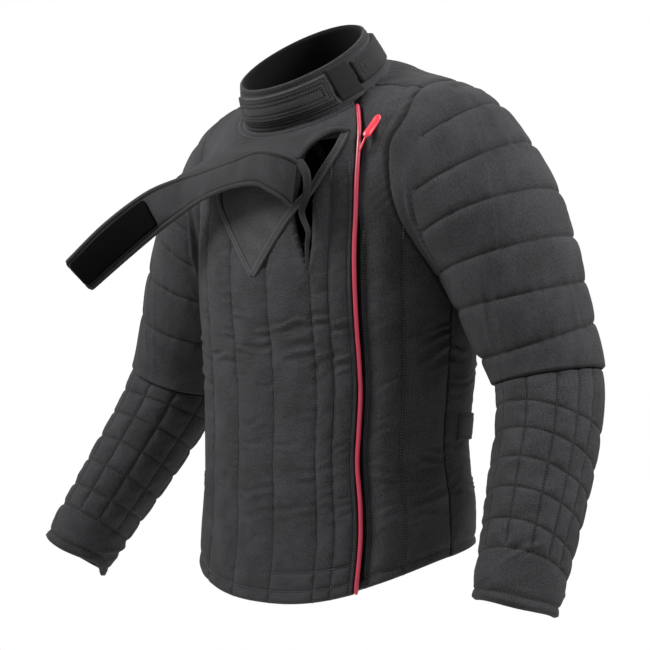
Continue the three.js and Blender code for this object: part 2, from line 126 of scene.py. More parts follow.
def spline(rows: Array, index: Array) -> Array:
    """Reads table rows at fractional indexes, on the cubic through four neighbouring rows.

    Args:
        rows: Table of shape (rows, ...), extended straight past both ends.
        index: Fractional row numbers.

    Returns:
        Rows at those indexes, of shape index.shape + row shape.
    """
    last = len(rows) - 1
    longer = np.concatenate([2 * rows[:1] - rows[1:2], rows, 2 * rows[-1:] - rows[-2:-1]])
    place = np.clip(index, 0, last)
    k = np.minimum(place.astype(int), last - 1)
    f = (place - k).reshape(place.shape + (1,) * (rows.ndim - 1))
    a, b, c, d = (longer[k + step] for step in range(4))
    square = 2 * a - 5 * b + 4 * c - d
    cube = 3 * b - a - 3 * c + d
    return 0.5 * (2 * b + (c - a) * f + square * f**2 + cube * f**3)


def unit(vectors: Array) -> Array:
    """Scales vectors to length one."""
    return vectors / np.maximum(np.linalg.norm(vectors, axis=-1, keepdims=True), 1e-12)


def closed(grid: Array) -> Array:
    """Repeats a grid's first column after its last."""
    return np.concatenate([grid, grid[:, :1]], axis=1)


def run_length(points: Array, axis: int) -> Array:
    """Length of the run of points along one axis of a grid, from zero at its start.

    Args:
        points: Grid of points, (rows, columns, 3).
        axis: 0 to run down the rows, 1 to run along the columns.

    Returns:
        Length at each point of the grid.
    """
    steps = np.linalg.norm(np.diff(points, axis=axis), axis=-1)
    start = np.zeros_like(np.take(steps, [0], axis=axis))
    return np.concatenate([start, np.cumsum(steps, axis=axis)], axis=axis)


def divided(
    stops: list[float] | Array, step: float, gather: float = 0.0, scale: float = 1.0
) -> tuple[Array, list[int]]:
    """Divides a run into even numbers of steps between its stops.

    Args:
        stops: Values that must be kept.
        step: Wanted step, in metres.
        gather: How much closer the steps lie near the stops, from 0 to 1.
        scale: Length of one unit of the stops, in metres.

    Returns:
        All values, and where each stop is among them.
    """
    values = [np.array(stops[:1], float)]
    places = [0]
    for low, high, length in zip(stops[:-1], stops[1:], np.diff(stops) * scale):
        count = 2 * max(1, round(length / (2 * step)))
        share = np.linspace(0, 1, count + 1)[1:]
        share = share - gather * np.sin(2 * math.pi * share) / (2 * math.pi)
        values.append(low + (high - low) * share)
        places.append(places[-1] + count)
    return np.concatenate(values), places


def resampled(path: Array, step: float) -> Array:
    """Fractional indexes that walk a path of points in equal steps of about a wanted length."""
    length = np.concatenate([[0], np.cumsum(np.linalg.norm(np.diff(path, axis=0), axis=1))])
    count = max(2, int(length[-1] / step) + 1)
    return np.interp(np.linspace(0, length[-1], count), length, np.arange(len(path)))


def walked(path: Table, step: float, scale: float = MM) -> Array:
    """Smooth line through a short table of points, in equal steps."""
    table = np.array(path, float) * scale
    fine = spline(table, np.linspace(0, len(table) - 1, FINE_STEPS * len(table)))
    return spline(fine, resampled(fine, step))


def distance_to(points: Array, cloud: Array) -> Array:
    """Distance of each point of a grid to the nearest point of a cloud, row by row of the grid."""
    far = (cloud**2).sum(1)
    squares = [((row**2).sum(1)[:, None] + far - 2 * row @ cloud.T).min(1) for row in points]
    return np.sqrt(np.maximum(np.stack(squares), 0))


def line_gaps(run: Array, marks: Array, narrowest: float = 6 * MM) -> tuple[Array, Array]:
    """Distance to the nearest of several lines, and half the width between the two next to a point.

    Args:
        run: Place of each point across the lines.
        marks: Place of each line, with the lines on the first axis and the grid's axes after it.
        narrowest: Least half width.

    Returns:
        Distances and half widths.
    """
    gap = run[None] - marks
    below = np.where(gap >= 0, gap, FAR).min(0)
    above = np.where(gap <= 0, -gap, FAR).min(0)
    return np.minimum(below, above), np.maximum((below + above) / 2, narrowest)


def end_distance(run: Array, axis: int) -> Array:
    """Distance of each point of a run to the nearer of its two ends, along one axis of a grid."""
    return np.minimum(run, np.take(run, [-1], axis=axis) - run)


def cell_corners(grid: Array) -> Array:
    """Values at the four corners of each cell of a grid, with the corners on the first axis."""
    return np.stack([grid[:-1, :-1], grid[1:, :-1], grid[:-1, 1:], grid[1:, 1:]])


def nearest(values: Array, wanted: tuple[float, ...]) -> list[int]:
    """Where the nearest of some values to each wanted one is."""
    return [int(np.argmin(np.abs(values - value))) for value in wanted]


def turn_between(degrees: Array, other: Array | float) -> Array:
    """Turn between two angles, the shorter way round, in degrees."""
    return np.abs((degrees - other + 180) % 360 - 180)


@dataclass(frozen=True)
class SmoothNoise:
    """Seeded numbers on a lattice, eased between its points, from -1 to 1."""

    seed: int
    size: int = 128

    def at(self, across: Array, along: Array) -> Array:
        """Noise at places given in lattice steps.

        Args:
            across: Place along the first axis.
            along: Place along the second axis.

        Returns:
            Noise values.
        """
        values = np.random.default_rng(self.seed).uniform(-1, 1, (self.size, self.size))
        i, j = np.floor(across).astype(int), np.floor(along).astype(int)
        f, g = smooth_step(across - i, 0, 1), smooth_step(along - j, 0, 1)
        at = lambda m, n: values[(i + m) % self.size, (j + n) % self.size]
        low = at(0, 0) * (1 - f) + at(1, 0) * f
        high = at(0, 1) * (1 - f) + at(1, 1) * f
        return low * (1 - g) + high * g


@dataclass(frozen=True)
class Unevenness:
    """Soft unevenness of a face: a smooth noise with a length each way and a height."""

    seed: int
    wide: float
    tall: float
    height: float

    def at(self, across: Array, along: Array) -> Array:
        """Heights at places across and along the face."""
        return SmoothNoise(self.seed).at(across / self.wide, along / self.tall) * self.height


@dataclass(frozen=True)
class Folds:
    """Folds of slack cloth: a bent wave with narrow valleys, that comes and goes with a smooth noise.

    Bend is in pitches, crest and valley are shares of the height, and narrow is a power of the valleys.
    """

    seed: int
    length: float
    pitch: float
    height: float
    slant: float = 0.0
    bend: float = 0.8
    crest: float = 0.45
    valley: float = 0.6
    narrow: int = 8

    def at(self, along: Array, across: Array) -> Array:
        """Heights of the folds.

        Args:
            along: Place along the folds.
            across: Place across the folds.

        Returns:
            Heights in metres, more of them below zero than above.
        """
        lengths, pitches = along / self.length, (across + self.slant * along) / self.pitch
        phase = 2 * math.pi * (pitches + self.bend * SmoothNoise(self.seed).at(lengths, pitches / 3))
        shown = smooth_step(SmoothNoise(self.seed + 1).at(0.8 * lengths + 40, pitches), 0.0, 0.55)
        valley = self.valley * np.clip(np.cos(phase), 0, 1) ** self.narrow
        return shown * (self.crest * np.cos(phase + 1.2) - valley) * self.height


# Finishes


# Bands that the wave texture draws in one unit at a scale of one
WAVE_TURNS = 20 / (2 * math.pi)
# Sockets of the Mix node that take and give colours
MIX_A, MIX_B, MIX_RESULT = 6, 7, 2


def add_node(
    tree: Tree, kind: str, inputs: dict[Any, Any], output: Any = 0, **settings: Any
) -> Socket:
    """Adds a node, sets its properties, and sets or links its inputs.

    Args:
        tree: Node tree that gets the node.
        kind: Blender's name of the node type, without its common beginning.
        inputs: Values, or sockets to link from, by input name or number.
        output: Name or number of the wanted output.
        **settings: Properties of the node.

    Returns:
        The wanted output.
    """
    node = tree.nodes.new("ShaderNode" + kind)
    for name, value in settings.items():
        setattr(node, name, value)
    for name, value in inputs.items():
        if isinstance(value, Socket):
            tree.links.new(value, node.inputs[name])
        else:
            node.inputs[name].default_value = value
    return node.outputs[output] if node.outputs else None


@dataclass(frozen=True)
class Finish:
    """A material with one procedural shader: two tones of a dye and a fine relief."""

    name: str
    dark: str
    light: str
    roughness: float
    specular: float
    relief: float
    strength: float

    def pattern(self, tree: Tree) -> tuple[Socket, Socket]:
        """Share of the light tone, and height of the relief."""
        raise NotImplementedError

    def shaded(self, tree: Tree, colour: Socket) -> Socket:
        """Colour with any shading along sewn lines."""
        return colour

    def material(self) -> bpy.types.Material:
        """Finds or makes the material.

        Returns:
            The material of this name.
        """
        found = bpy.data.materials.get(self.name)
        if found:
            return found
        made = bpy.data.materials.new(self.name)
        made.use_nodes = True
        tree = made.node_tree
        tree.nodes.clear()
        share, height = self.pattern(tree)
        tones = {"Factor": share, MIX_A: linear(self.dark), MIX_B: linear(self.light)}
        colour = self.shaded(tree, add_node(tree, "Mix", tones, MIX_RESULT, data_type="RGBA"))
        relief = {"Strength": self.strength, "Distance": self.relief, "Height": height}
        surface = {
            "Base Color": colour,
            "Roughness": self.roughness,
            "Specular IOR Level": self.specular,
            "Normal": add_node(tree, "Bump", relief),
        }
        shader = add_node(tree, "BsdfPrincipled", surface)
        add_node(tree, "OutputMaterial", {"Surface": shader})
        return made


@dataclass(frozen=True)
class WovenCloth(Finish):
    """Piece-dyed polyester and cotton canvas: a dry face, mottled thread by thread, with painted shade in
    the crease along its seams.

    The threads are drawn at about twice their real pitch, since the real ones are too fine to show.
    """

    dark: str = "#0b0b0c"
    light: str = "#29292b"
    roughness: float = 0.86
    specular: float = 0.14
    relief: float = 0.55 * MM
    strength: float = 0.5
    thread: float = 1.7 * MM
    mottle: float = 2.4 * MM
    cloud: float = 45 * MM
    # Width, colour and strength of the painted shade in the crease along each sewn line
    crease: float = 2.2 * MM
    crease_shade_tone: str = "#020202"
    crease_shade_share: float = 0.95
    weave_share: float = 0.4
    cloud_share: float = 0.5
    nap_share: float = 0.9
    tone_range: Pair = (0.55, 1.2)

    def pattern(self, tree: Tree) -> tuple[Socket, Socket]:
        """Crosses two sets of threads, and adds a fine mottle and soft clouds of wear."""
        uv = add_node(tree, "UVMap", {}, uv_map=CLOTH_UV)
        scale = 1 / (WAVE_TURNS * self.thread)
        bands = {"Vector": uv, "Scale": scale, "Distortion": 1.2, "Detail": 1.0}
        warp, weft = (add_node(tree, "TexWave", bands, "Fac", bands_direction=way) for way in "XY")
        weave = add_node(tree, "Math", {0: warp, 1: weft}, operation="MULTIPLY")
        spots = {"Vector": uv, "Detail": 3.0, "Roughness": 0.65}
        mottle, cloud = (
            add_node(tree, "TexNoise", {**spots, "Scale": 1 / size}, "Fac", noise_dimensions="2D")
            for size in (self.mottle, self.cloud)
        )
        added = {"operation": "MULTIPLY_ADD"}
        tone = add_node(tree, "Math", {0: weave, 1: self.weave_share, 2: mottle}, **added)
        tone = add_node(tree, "Math", {0: cloud, 1: self.cloud_share, 2: tone}, **added)
        low, high = self.tone_range
        share = add_node(tree, "MapRange", {"Value": tone, "From Min": low, "From Max": high})
        height = add_node(tree, "Math", {0: mottle, 1: self.nap_share, 2: weave}, **added)
        return share, height

    def shaded(self, tree: Tree, colour: Socket) -> Socket:
        """Paints shade into the cloth within a narrow crease along each sewn line."""
        line = add_node(tree, "Attribute", {}, "Fac", attribute_name=LINE)
        ends = {"Value": line, "From Max": self.crease, "To Min": self.crease_shade_share, "To Max": 0.0}
        crease = add_node(tree, "MapRange", ends, interpolation_type="SMOOTHSTEP")
        tones = {"Factor": crease, MIX_A: colour, MIX_B: linear(self.crease_shade_tone)}
        return add_node(tree, "Mix", tones, MIX_RESULT, data_type="RGBA")


@dataclass(frozen=True)
class PlainFibre(Finish):
    """Plain stuff of one dye with a fine grain: lining, pile, thread, tape, moulded grip or paint.

    The grain is drawn coarser than the real nap, which is too fine to show.
    """

    roughness: float = 0.95
    specular: float = 0.1
    relief: float = 0.6 * MM
    strength: float = 0.5
    nap: float = 1.2 * MM

    def pattern(self, tree: Tree) -> tuple[Socket, Socket]:
        """Uses one fine noise for both tone and height."""
        place = add_node(tree, "TexCoord", {}, "Object")
        settings = {"Vector": place, "Scale": 1 / self.nap, "Detail": 3.0, "Roughness": 0.7}
        nap = add_node(tree, "TexNoise", settings, "Fac")
        return nap, nap


@dataclass(frozen=True)
class PipingCover(Finish):
    """Bias-cut polyester satin over a cord: slanting threads with a soft shine on the crest.

    The threads are drawn much coarser than real ones, which are too fine to show.
    """

    roughness: float = 0.36
    specular: float = 0.5
    relief: float = 0.3 * MM
    strength: float = 0.3
    thread: float = 1.6 * MM

    def pattern(self, tree: Tree) -> tuple[Socket, Socket]:
        """Draws threads on the slant round the cord."""
        uv = add_node(tree, "UVMap", {}, uv_map=CLOTH_UV)
        settings = {"Vector": uv, "Scale": 1 / (WAVE_TURNS * self.thread), "Distortion": 0.6}
        threads = add_node(tree, "TexWave", settings, "Fac", bands_direction="DIAGONAL")
        return threads, threads


BODY_CLOTH = WovenCloth("charcoal_canvas_woven")
# A darker copy of the canvas: painted shade on the strap, flap, fold, back strap and waist tab
PAINTED_SHADE_CLOTH = WovenCloth("charcoal_canvas_smooth", dark="#0b0b0c", light="#232325", mottle=2.0 * MM)
# A lighter copy of the canvas: painted light on the bib, its neckline bands and the collar's front tab
PAINTED_LIGHT_CLOTH = WovenCloth("charcoal_canvas_pressed", dark="#161617", light="#323233", mottle=2.0 * MM)
LINING = PlainFibre("black_lining_knitted", "#030303", "#070707")
PILE = PlainFibre("black_hook_and_loop_woven", "#000000", "#040404", specular=0.03, nap=1.6 * MM)
LOOP = PlainFibre("charcoal_loop_pile_knitted", "#070708", "#1d1d1e", nap=1.8 * MM)
THREAD = PlainFibre("grey_polyester_thread_spun", "#343436", "#48484b", nap=0.5 * MM)
LIGHT_THREAD = PlainFibre("pale_grey_polyester_thread_spun", "#48484b", "#606064", nap=0.5 * MM)
# Near-black zip tape: partly the tape's own black, partly painted shadow that the lap casts beside the
# piping
ZIP_TAPE_AND_SHADOW = PlainFibre("black_zip_tape_woven", "#010101", "#040404", specular=0.05)
PIPING = PipingCover("red_satin_piping_bias_cut", "#560714", "#9e1f3a")
RUBBER = PlainFibre(
    "red_pvc_moulded",
    "#960f20",
    "#a81427",
    roughness=0.38,
    specular=0.5,
    relief=0.2 * MM,
    strength=0.15,
    nap=0.8 * MM,
)
FLOOR = PlainFibre("pale_floor_painted", "#e9e9e9", "#efefef", strength=0.02, nap=40 * MM)


# Meshes


@dataclass
class Draft:
    """A closed piece before it becomes a mesh.

    It has points, four point numbers, cloth coordinates in metres and a finish number for each face, and
    each point's distance to the nearest stitched line.
    """

    points: Array
    quads: Array
    uv: Array
    line: Array
    finish: Array

    def joined(self, other: Draft) -> Draft:
        """Puts another draft's faces after this one's.

        Args:
            other: Draft to add.

        Returns:
            One draft that holds both.
        """
        first = (self.points, self.quads, self.uv, self.line, self.finish)
        later = (other.points, other.quads + len(self.points), other.uv, other.line, other.finish)
        return Draft(*(np.concatenate(pair) for pair in zip(first, later)))

    def tidied(self) -> Draft:
        """Drops points that no face uses, and turns the faces out if the volume is negative.

        Returns:
            The tidied draft.
        """
        used, numbers = np.unique(self.quads, return_inverse=True)
        quads = numbers.reshape(self.quads.shape)
        points = self.points[used]
        a, b, c, d = (points[quads[:, k]] for k in range(4))
        twice = np.einsum("ij,ij->i", np.cross(a, b), c) + np.einsum("ij,ij->i", np.cross(a, c), d)
        turned = twice.sum() < 0
        return Draft(
            points,
            quads[:, ::-1] if turned else quads,
            self.uv[:, ::-1] if turned else self.uv,
            self.line[used],
            self.finish,
        )

    def piece(self, name: str, finishes: list[Finish]) -> bpy.types.Object:
        """Makes the mesh object and lets it ride on the jacket's one body.

        Args:
            name: Name of the piece.
            finishes: Finishes by number.

        Returns:
            The new object.
        """
        clean = self.tidied()
        mesh = bpy.data.meshes.new(name)
        mesh.vertices.add(len(clean.points))
        mesh.vertices.foreach_set("co", clean.points.astype(np.float32).ravel())
        mesh.loops.add(clean.quads.size)
        mesh.loops.foreach_set("vertex_index", clean.quads.astype(np.int32).ravel())
        mesh.polygons.add(len(clean.quads))
        mesh.polygons.foreach_set("loop_start", np.arange(0, clean.quads.size, 4, dtype=np.int32))
        mesh.polygons.foreach_set("material_index", clean.finish.astype(np.int32))
        mesh.update(calc_edges=True)
        mesh.shade_smooth()
        layer = mesh.uv_layers.new(name=CLOTH_UV)
        layer.data.foreach_set("uv", clean.uv.astype(np.float32).ravel())
        line = mesh.attributes.new(LINE, "FLOAT", "POINT")
        line.data.foreach_set("value", np.minimum(clean.line, FAR).astype(np.float32))
        for finish in finishes:
            mesh.materials.append(finish.material())
        made = bpy.data.objects.new(name, mesh)
        bpy.context.scene.collection.objects.link(made)
        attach(made, ROOT)
        LOG.info("%s: %d points, %d faces", name, len(clean.points), len(clean.quads))
        return made

    def dressed(
        self,
        name: str,
        finishes: list[Finish],
        slot: Slot,
        nodes: tuple[str, ...] = (),
        fill: float | None = None,
    ) -> None:
        """Makes a piece, and hides the CAD nodes it stands for.

        Args:
            name: Name of the piece.
            finishes: Finishes by number.
            slot: Not used.
            nodes: CAD nodes that the piece replaces.
            fill: Not used.
        """
        made = self.piece(name, finishes)
        if nodes:
            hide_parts(*nodes)


def grid_faces(rows: int, columns: int, spans: int) -> tuple[Array, list[tuple[Array, Array]]]:
    """Four-sided faces between the points of a grid.

    Args:
        rows: Rows of points.
        columns: Columns of points.
        spans: Cells in a row, as many as the columns where the last column joins the first.

    Returns:
        Point numbers of each face, (m, 4), and the rows and columns of each of the four corners.
    """
    j, i = (part.ravel() for part in np.meshgrid(np.arange(rows - 1), np.arange(spans), indexing="ij"))
    corners = [(j, i), (j, i + 1), (j + 1, i + 1), (j + 1, i)]
    return np.stack([row * columns + column % columns for row, column in corners], axis=1), corners


def shell(
    outer: Array, inner: Array, uv: Array, line: Array, keep: Array | None = None, wrap: bool = False
) -> Draft:
    """Closes two matching grids of points into one wall.

    Each kept cell gives a face outside and a face inside, and an edge between a kept cell and none
    gets a face that joins the two grids.

    Args:
        outer: Outer grid, (rows, columns, 3).
        inner: Inner grid of the same shape.
        uv: Cloth coordinates, (rows, columns, 2), with one more column where the grid wraps.
        line: Distance to the nearest stitched line, (rows, columns).
        keep: Cells to keep, or None for all.
        wrap: Whether the last column joins the first.

    Returns:
        Draft of the wall, finished outside as 0 and inside as 1.
    """
    rows, columns = outer.shape[:2]
    spans = columns if wrap else columns - 1
    front, corners = grid_faces(rows, columns, spans)
    kept = np.ones((rows - 1, spans), bool) if keep is None else keep
    front_uv = np.stack([uv[corner] for corner in corners], axis=1)
    fill = kept.ravel()
    quads = [front[fill], front[fill][:, ::-1] + rows * columns]
    uvs = [front_uv[fill], front_uv[fill][:, ::-1]]
    finishes = [np.full(fill.sum(), OUTSIDE), np.full(fill.sum(), INSIDE)]
    framed = np.pad(kept, 1)
    if wrap:
        framed[1:-1, 0], framed[1:-1, -1] = kept[:, -1], kept[:, 0]
    beside = [framed[:-2, 1:-1], framed[1:-1, 2:], framed[2:, 1:-1], framed[1:-1, :-2]]
    for side, other in enumerate(beside):
        bare = fill & ~other.ravel()
        here, there = front[bare, side], front[bare, (side + 1) % 4]
        quads.append(np.stack([there, here, here + rows * columns, there + rows * columns], axis=1))
        edge = front_uv[bare][:, [(side + 1) % 4, side]]
        uvs.append(np.concatenate([edge, edge[:, ::-1]], axis=1))
        finishes.append(np.full(bare.sum(), OUTSIDE))
    return Draft(
        np.concatenate([outer.reshape(-1, 3), inner.reshape(-1, 3)]),
        np.concatenate(quads),
        np.concatenate(uvs),
        np.concatenate([line.ravel(), line.ravel()]),
        np.concatenate(finishes),
    )


def wall(
    base: Array, normal: Array, top: Array, under: Array | float, line: Array | float = FAR
) -> Draft:
    """Closes a wall between two heights over a grid, its cloth coordinates run along the grid.

    Args:
        base: Grid of points, (rows, columns, 3).
        normal: Outward directions at them.
        top: Height of the outer face.
        under: Height of the inner face.
        line: Distance to the nearest stitched line.

    Returns:
        Draft of the wall.
    """
    across, along = run_length(base, 1), run_length(base, 0)
    outer, inner = (base + normal * (height + 0 * across)[..., None] for height in (top, under))
    return shell(outer, inner, np.stack([across, along], axis=-1), line + 0 * across)


def tube(rings: Array, uv: Array) -> Draft:
    """Joins rings of points into a closed tube, its ends filled by strips across them.

    Args:
        rings: Points, (rings, an even number of sides, 3).
        uv: Cloth coordinates, (rings, sides + 1, 2).

    Returns:
        Draft of the tube.
    """
    count, sides = rings.shape[:2]
    quads, corners = grid_faces(count, sides, sides)
    uvs = np.stack([uv[corner] for corner in corners], axis=1)
    k = np.arange(sides // 2 - 1)
    cap = np.stack([k, sides - 1 - k, sides - 2 - k, k + 1], axis=1)
    caps = np.concatenate([cap, cap[:, ::-1] + (count - 1) * sides])
    cap_uv = np.concatenate([uv[0, cap], uv[-1, cap[:, ::-1]]])
    return Draft(
        rings.reshape(-1, 3),
        np.concatenate([quads, caps]),
        np.concatenate([uvs, cap_uv]),
        np.full(count * sides, FAR),
        np.zeros(len(quads) + len(caps), int),
    )


def swept(path: Array, normal: Array, profile: Array, size: Array) -> Draft:
    """Carries a closed profile along a path.

    A profile point is the path's point, plus its first number to the side and its second along the
    normal, both times the size there.

    Args:
        path: Points of the path, (n, 3).
        normal: Outward directions along it, (n, 3).
        profile: Closed profile with an even number of points, (m, 2).
        size: Scale of the profile at each point of the path.

    Returns:
        Draft of the closed tube.
    """
    along = unit(np.gradient(path, axis=0))
    sideways = unit(np.cross(along, normal))
    out = np.cross(sideways, along)
    wide = (profile[None, :, 0] * size[:, None])[..., None] * sideways[:, None]
    tall = (profile[None, :, 1] * size[:, None])[..., None] * out[:, None]
    rings = path[:, None] + wide + tall
    around = run_length(np.concatenate([profile, profile[:1]])[None], 1)[0]
    distance = run_length(path[None], 1)[0]
    uv = np.stack(np.broadcast_arrays(around[None], distance[:, None]), axis=-1)
    return tube(rings, uv)


def ellipse(width: float, height: float, sides: int) -> Array:
    """Profile of an ellipse of that full width and height, (sides, 2)."""
    turn = np.linspace(0, 2 * math.pi, sides, endpoint=False)
    return np.stack([width / 2 * np.cos(turn), height / 2 * np.sin(turn)], axis=1)


def rounded_end(count: int, length: int) -> Array:
    """Scale along a path that rounds off its last few points at both ends, as a quarter circle.

    Args:
        count: Number of points of the path.
        length: Number of points that each end takes.

    Returns:
        Scale at each point.
    """
    k = np.arange(count)
    blunt = 0.3
    near = np.clip((np.minimum(k, count - 1 - k) + blunt) / length, 0, 1)
    return np.sqrt(1 - (1 - near) ** 2)


# Forms that the pieces lie on: the CAD's, fitted a few millimetres closer to the real jacket


@dataclass(frozen=True)
class RingForm:
    """Surface through stacked, squared, tilted and dipped rings.

    At an angle from the centre front, x is the half width times the sine, and y the middle less the
    reach times the cosine, each raised to two over the squareness, and z is the height less the tilt
    times the cosine and the dip times its square.
    """

    rows: Table
    halvings: int = 26
    rough_halvings: int = 22

    @property
    def last(self) -> int:
        """Number of the top ring."""
        return len(self.rows) - 1

    def ring(self, index: Array) -> list[Array]:
        """Ring values at fractional indexes: z, tilt, dip, half width, front, back, then the rest."""
        table = np.array(self.rows, float)
        scale = np.array([MM] * 6 + [1] * (table.shape[1] - 6))
        return list(np.moveaxis(spline(table * scale, index), -1, 0))

    def place(self, degrees: Array, index: Array) -> Array:
        """Points of the surface.

        Args:
            degrees: Angles from the centre front, positive to the wearer's left.
            index: Fractional ring numbers.

        Returns:
            Points, one for each pair.
        """
        degrees, index = np.broadcast_arrays(np.asarray(degrees, float), np.asarray(index, float))
        z, tilt, dip, half, front, back, square = self.ring(index)[:7]
        sine, cosine = np.sin(np.radians(degrees)), np.cos(np.radians(degrees))
        bent = lambda value: np.sign(value) * np.abs(value) ** (2 / square)
        return np.stack(
            [
                half * bent(sine),
                (front + back) / 2 - (back - front) / 2 * bent(cosine),
                z - tilt * cosine - dip * cosine**2,
            ],
            axis=-1,
        )

    def normal(self, degrees: Array, index: Array) -> Array:
        """Outward directions at those places, from the surface's two tangents."""
        turn, rise = 1.0, 0.05
        above = np.minimum(np.asarray(index, float) + rise, self.last)
        below = np.maximum(np.asarray(index, float) - rise, 0)
        around = self.place(degrees + turn, index) - self.place(degrees - turn, index)
        up = self.place(degrees, above) - self.place(degrees, below)
        return unit(np.cross(around, up))

    def point(self, degrees: Array, index: Array, offset: Array | float) -> Array:
        """Points moved out from the surface by an offset in metres."""
        lift = np.asarray(offset, float)[..., None]
        return self.place(degrees, index) + self.normal(degrees, index) * lift

    def above_front(self, x: Array, z: Array) -> tuple[Array, Array]:
        """Angle and ring index of the front surface at places in X and Z, by halving.

        Args:
            x: Places along X.
            z: Places along Z.

        Returns:
            Angles and indexes.
        """
        low, high = np.zeros_like(x), np.full_like(x, self.last)
        for _ in range(self.halvings):
            index = (low + high) / 2
            ring = self.ring(index)
            share = np.minimum(np.abs(x) / ring[3], 1) ** (ring[6] / 2)
            degrees = np.degrees(np.arcsin(share)) * np.sign(x)
            under = self.place(degrees, index)[..., 2] < z
            low, high = np.where(under, index, low), np.where(under, high, index)
        return degrees, low

    def height_over(self, points: Array) -> Array:
        """How far points stand out of the surface, by halving for the ring that each lies on.

        Args:
            points: Points, (..., 3).

        Returns:
            Distance along the surface normal, negative inside.
        """
        x, y, z = np.moveaxis(points, -1, 0)
        low, high = np.zeros_like(x), np.full_like(x, self.last)
        for _ in range(self.rough_halvings):
            index = (low + high) / 2
            _, tilt, dip, half, front, back, square = self.ring(index)[:7]
            sine = np.sign(x) * (np.abs(x) / half) ** (square / 2)
            level = ((front + back) / 2 - y) / ((back - front) / 2)
            cosine = np.sign(level) * np.abs(level) ** (square / 2)
            degrees = np.degrees(np.arctan2(sine, cosine))
            under = self.place(degrees, index)[..., 2] < z
            low, high = np.where(under, index, low), np.where(under, high, index)
        gap = points - self.place(degrees, low)
        return np.einsum("...k,...k->...", gap, self.normal(degrees, low))


@dataclass(frozen=True)
class ArmForm:
    """Surface of a sleeve: ellipses across a bent line of centres, their planes slanted.

    A point is the centre, plus the half size across times the cosine outwards, the half depth times
    the sine backwards, and a slide along the arm that falls by the outer rise and grows by the front
    rise. Angles run from the outer side to the back.

    The slant is an extra outer rise near the elbow, and the drop a slide down the arm there. Each has its
    first and last section and an ease. The head's sections run into the body.
    """

    rows: Table
    side: Side
    slant: float = 0.0
    drop: float = 0.0
    slanted: Triple = (2.5, 5, 1.2)
    dropped: Triple = (4.7, 5.2, 0.7)
    head: Pair = (1.0, 4)
    head_reach: float = 15 * MM

    @property
    def last(self) -> int:
        """Number of the section at the wrist."""
        return len(self.rows) - 1

    def frame(self, index: Array) -> tuple[Array, Array, Array, Array, Array]:
        """Centres, the three directions and the sizes of sections.

        Args:
            index: Fractional section numbers, (n,).

        Returns:
            Centres, along, outwards and backwards directions, and the table's last four columns.
        """
        table = np.array(self.rows, float) * MM
        rise = 0.02
        here = spline(table, index)
        after = spline(table, np.minimum(index + rise, self.last))
        before = spline(table, np.maximum(index - rise, 0))
        along = unit(after[:, :3] - before[:, :3])
        back = unit(np.array([0.0, 1.0, 0.0]) - along * along[:, 1:2])
        return here[:, :3], along, np.cross(along, back), back, here[:, 3:]

    def point(self, degrees: Array, index: Array, slide: Array | float = 0.0) -> Array:
        """Points of the sleeve on a grid.

        Args:
            degrees: Angle of each column, (columns,).
            index: Section of each row, (rows,).
            slide: Move along the arm, (rows, columns).

        Returns:
            Points, (rows, columns, 3).
        """
        centre, along, out, back, sizes = (part[:, None] for part in self.frame(index))
        across, deep, rise_out, rise_front = np.moveaxis(sizes, -1, 0)
        cosine, sine = np.cos(np.radians(degrees))[None], np.sin(np.radians(degrees))[None]
        leaning = self.slant * window(index, *self.slanted)[:, None]
        lower = self.drop * window(index, *self.dropped)[:, None]
        shift = slide + lower - (rise_out + leaning) * cosine + rise_front * sine
        points = (
            centre
            + (across * cosine)[..., None] * out
            + (deep * sine)[..., None] * back
            + shift[..., None] * along
        )
        return points * np.array([self.side.value, 1, 1])

    def share_of(self, points: Array, offset: float) -> Array:
        """How far points lie from the arm's line, as a share of the sleeve's size moved by an offset.

        Args:
            points: Points, (..., 3).
            offset: Move of the sleeve's surface, in metres.

        Returns:
            Shares, under one inside.
        """
        centre, along, out, back, sizes = self.frame(np.linspace(*self.head, 70))
        flat = points.reshape(-1, 3) * np.array([self.side.value, 1, 1])
        close = ((flat[:, None] - centre[None]) ** 2).sum(-1).argmin(1)
        gap = flat - centre[close]
        across = np.einsum("ij,ij->i", gap, out[close]) / (sizes[close, 0] + offset)
        deep = np.einsum("ij,ij->i", gap, back[close]) / (sizes[close, 1] + offset)
        beyond = np.abs(np.einsum("ij,ij->i", gap, along[close])) > self.head_reach
        return (np.hypot(across, deep) + beyond).reshape(points.shape[:-1])


# Body rings from the hem up, in millimetres: height, tilt, dip, half width, front, back, and then
# squareness and the lapping edge's angle
BODY = RingForm(
    (
        (-588, 31, 31, 202, -98, 169, 2.3, 39.5),
        (-525, 18, 28, 198, -92, 170, 2.3, 41),
        (-455, 5, 12, 191, -92, 164, 2.3, 41),
        (-375, 0, 5, 194, -94, 174, 2.3, 42),
        (-275, 5, 0, 199, -100, 181, 2.3, 40),
        (-185, 18, 0, 200, -100, 178, 2.3, 39.5),
        (-54, 52, 8, 184, -97, 154, 2.2, 44.5),
        (-14, 57, 8, 134, -92, 122, 2.1, 58),
        (-3, 50, 0, 85, -77, 79, 2.0, 74),
    )
)
# Collar rings from the neck seam to the rim, in the same columns
COLLAR = RingForm(
    (
        (2, 50, 0, 93, -88, 85, 2),
        (18, 50, 0, 88, -95, 71, 2),
        (38, 50, 0, 82, -103, 55, 2),
    )
)
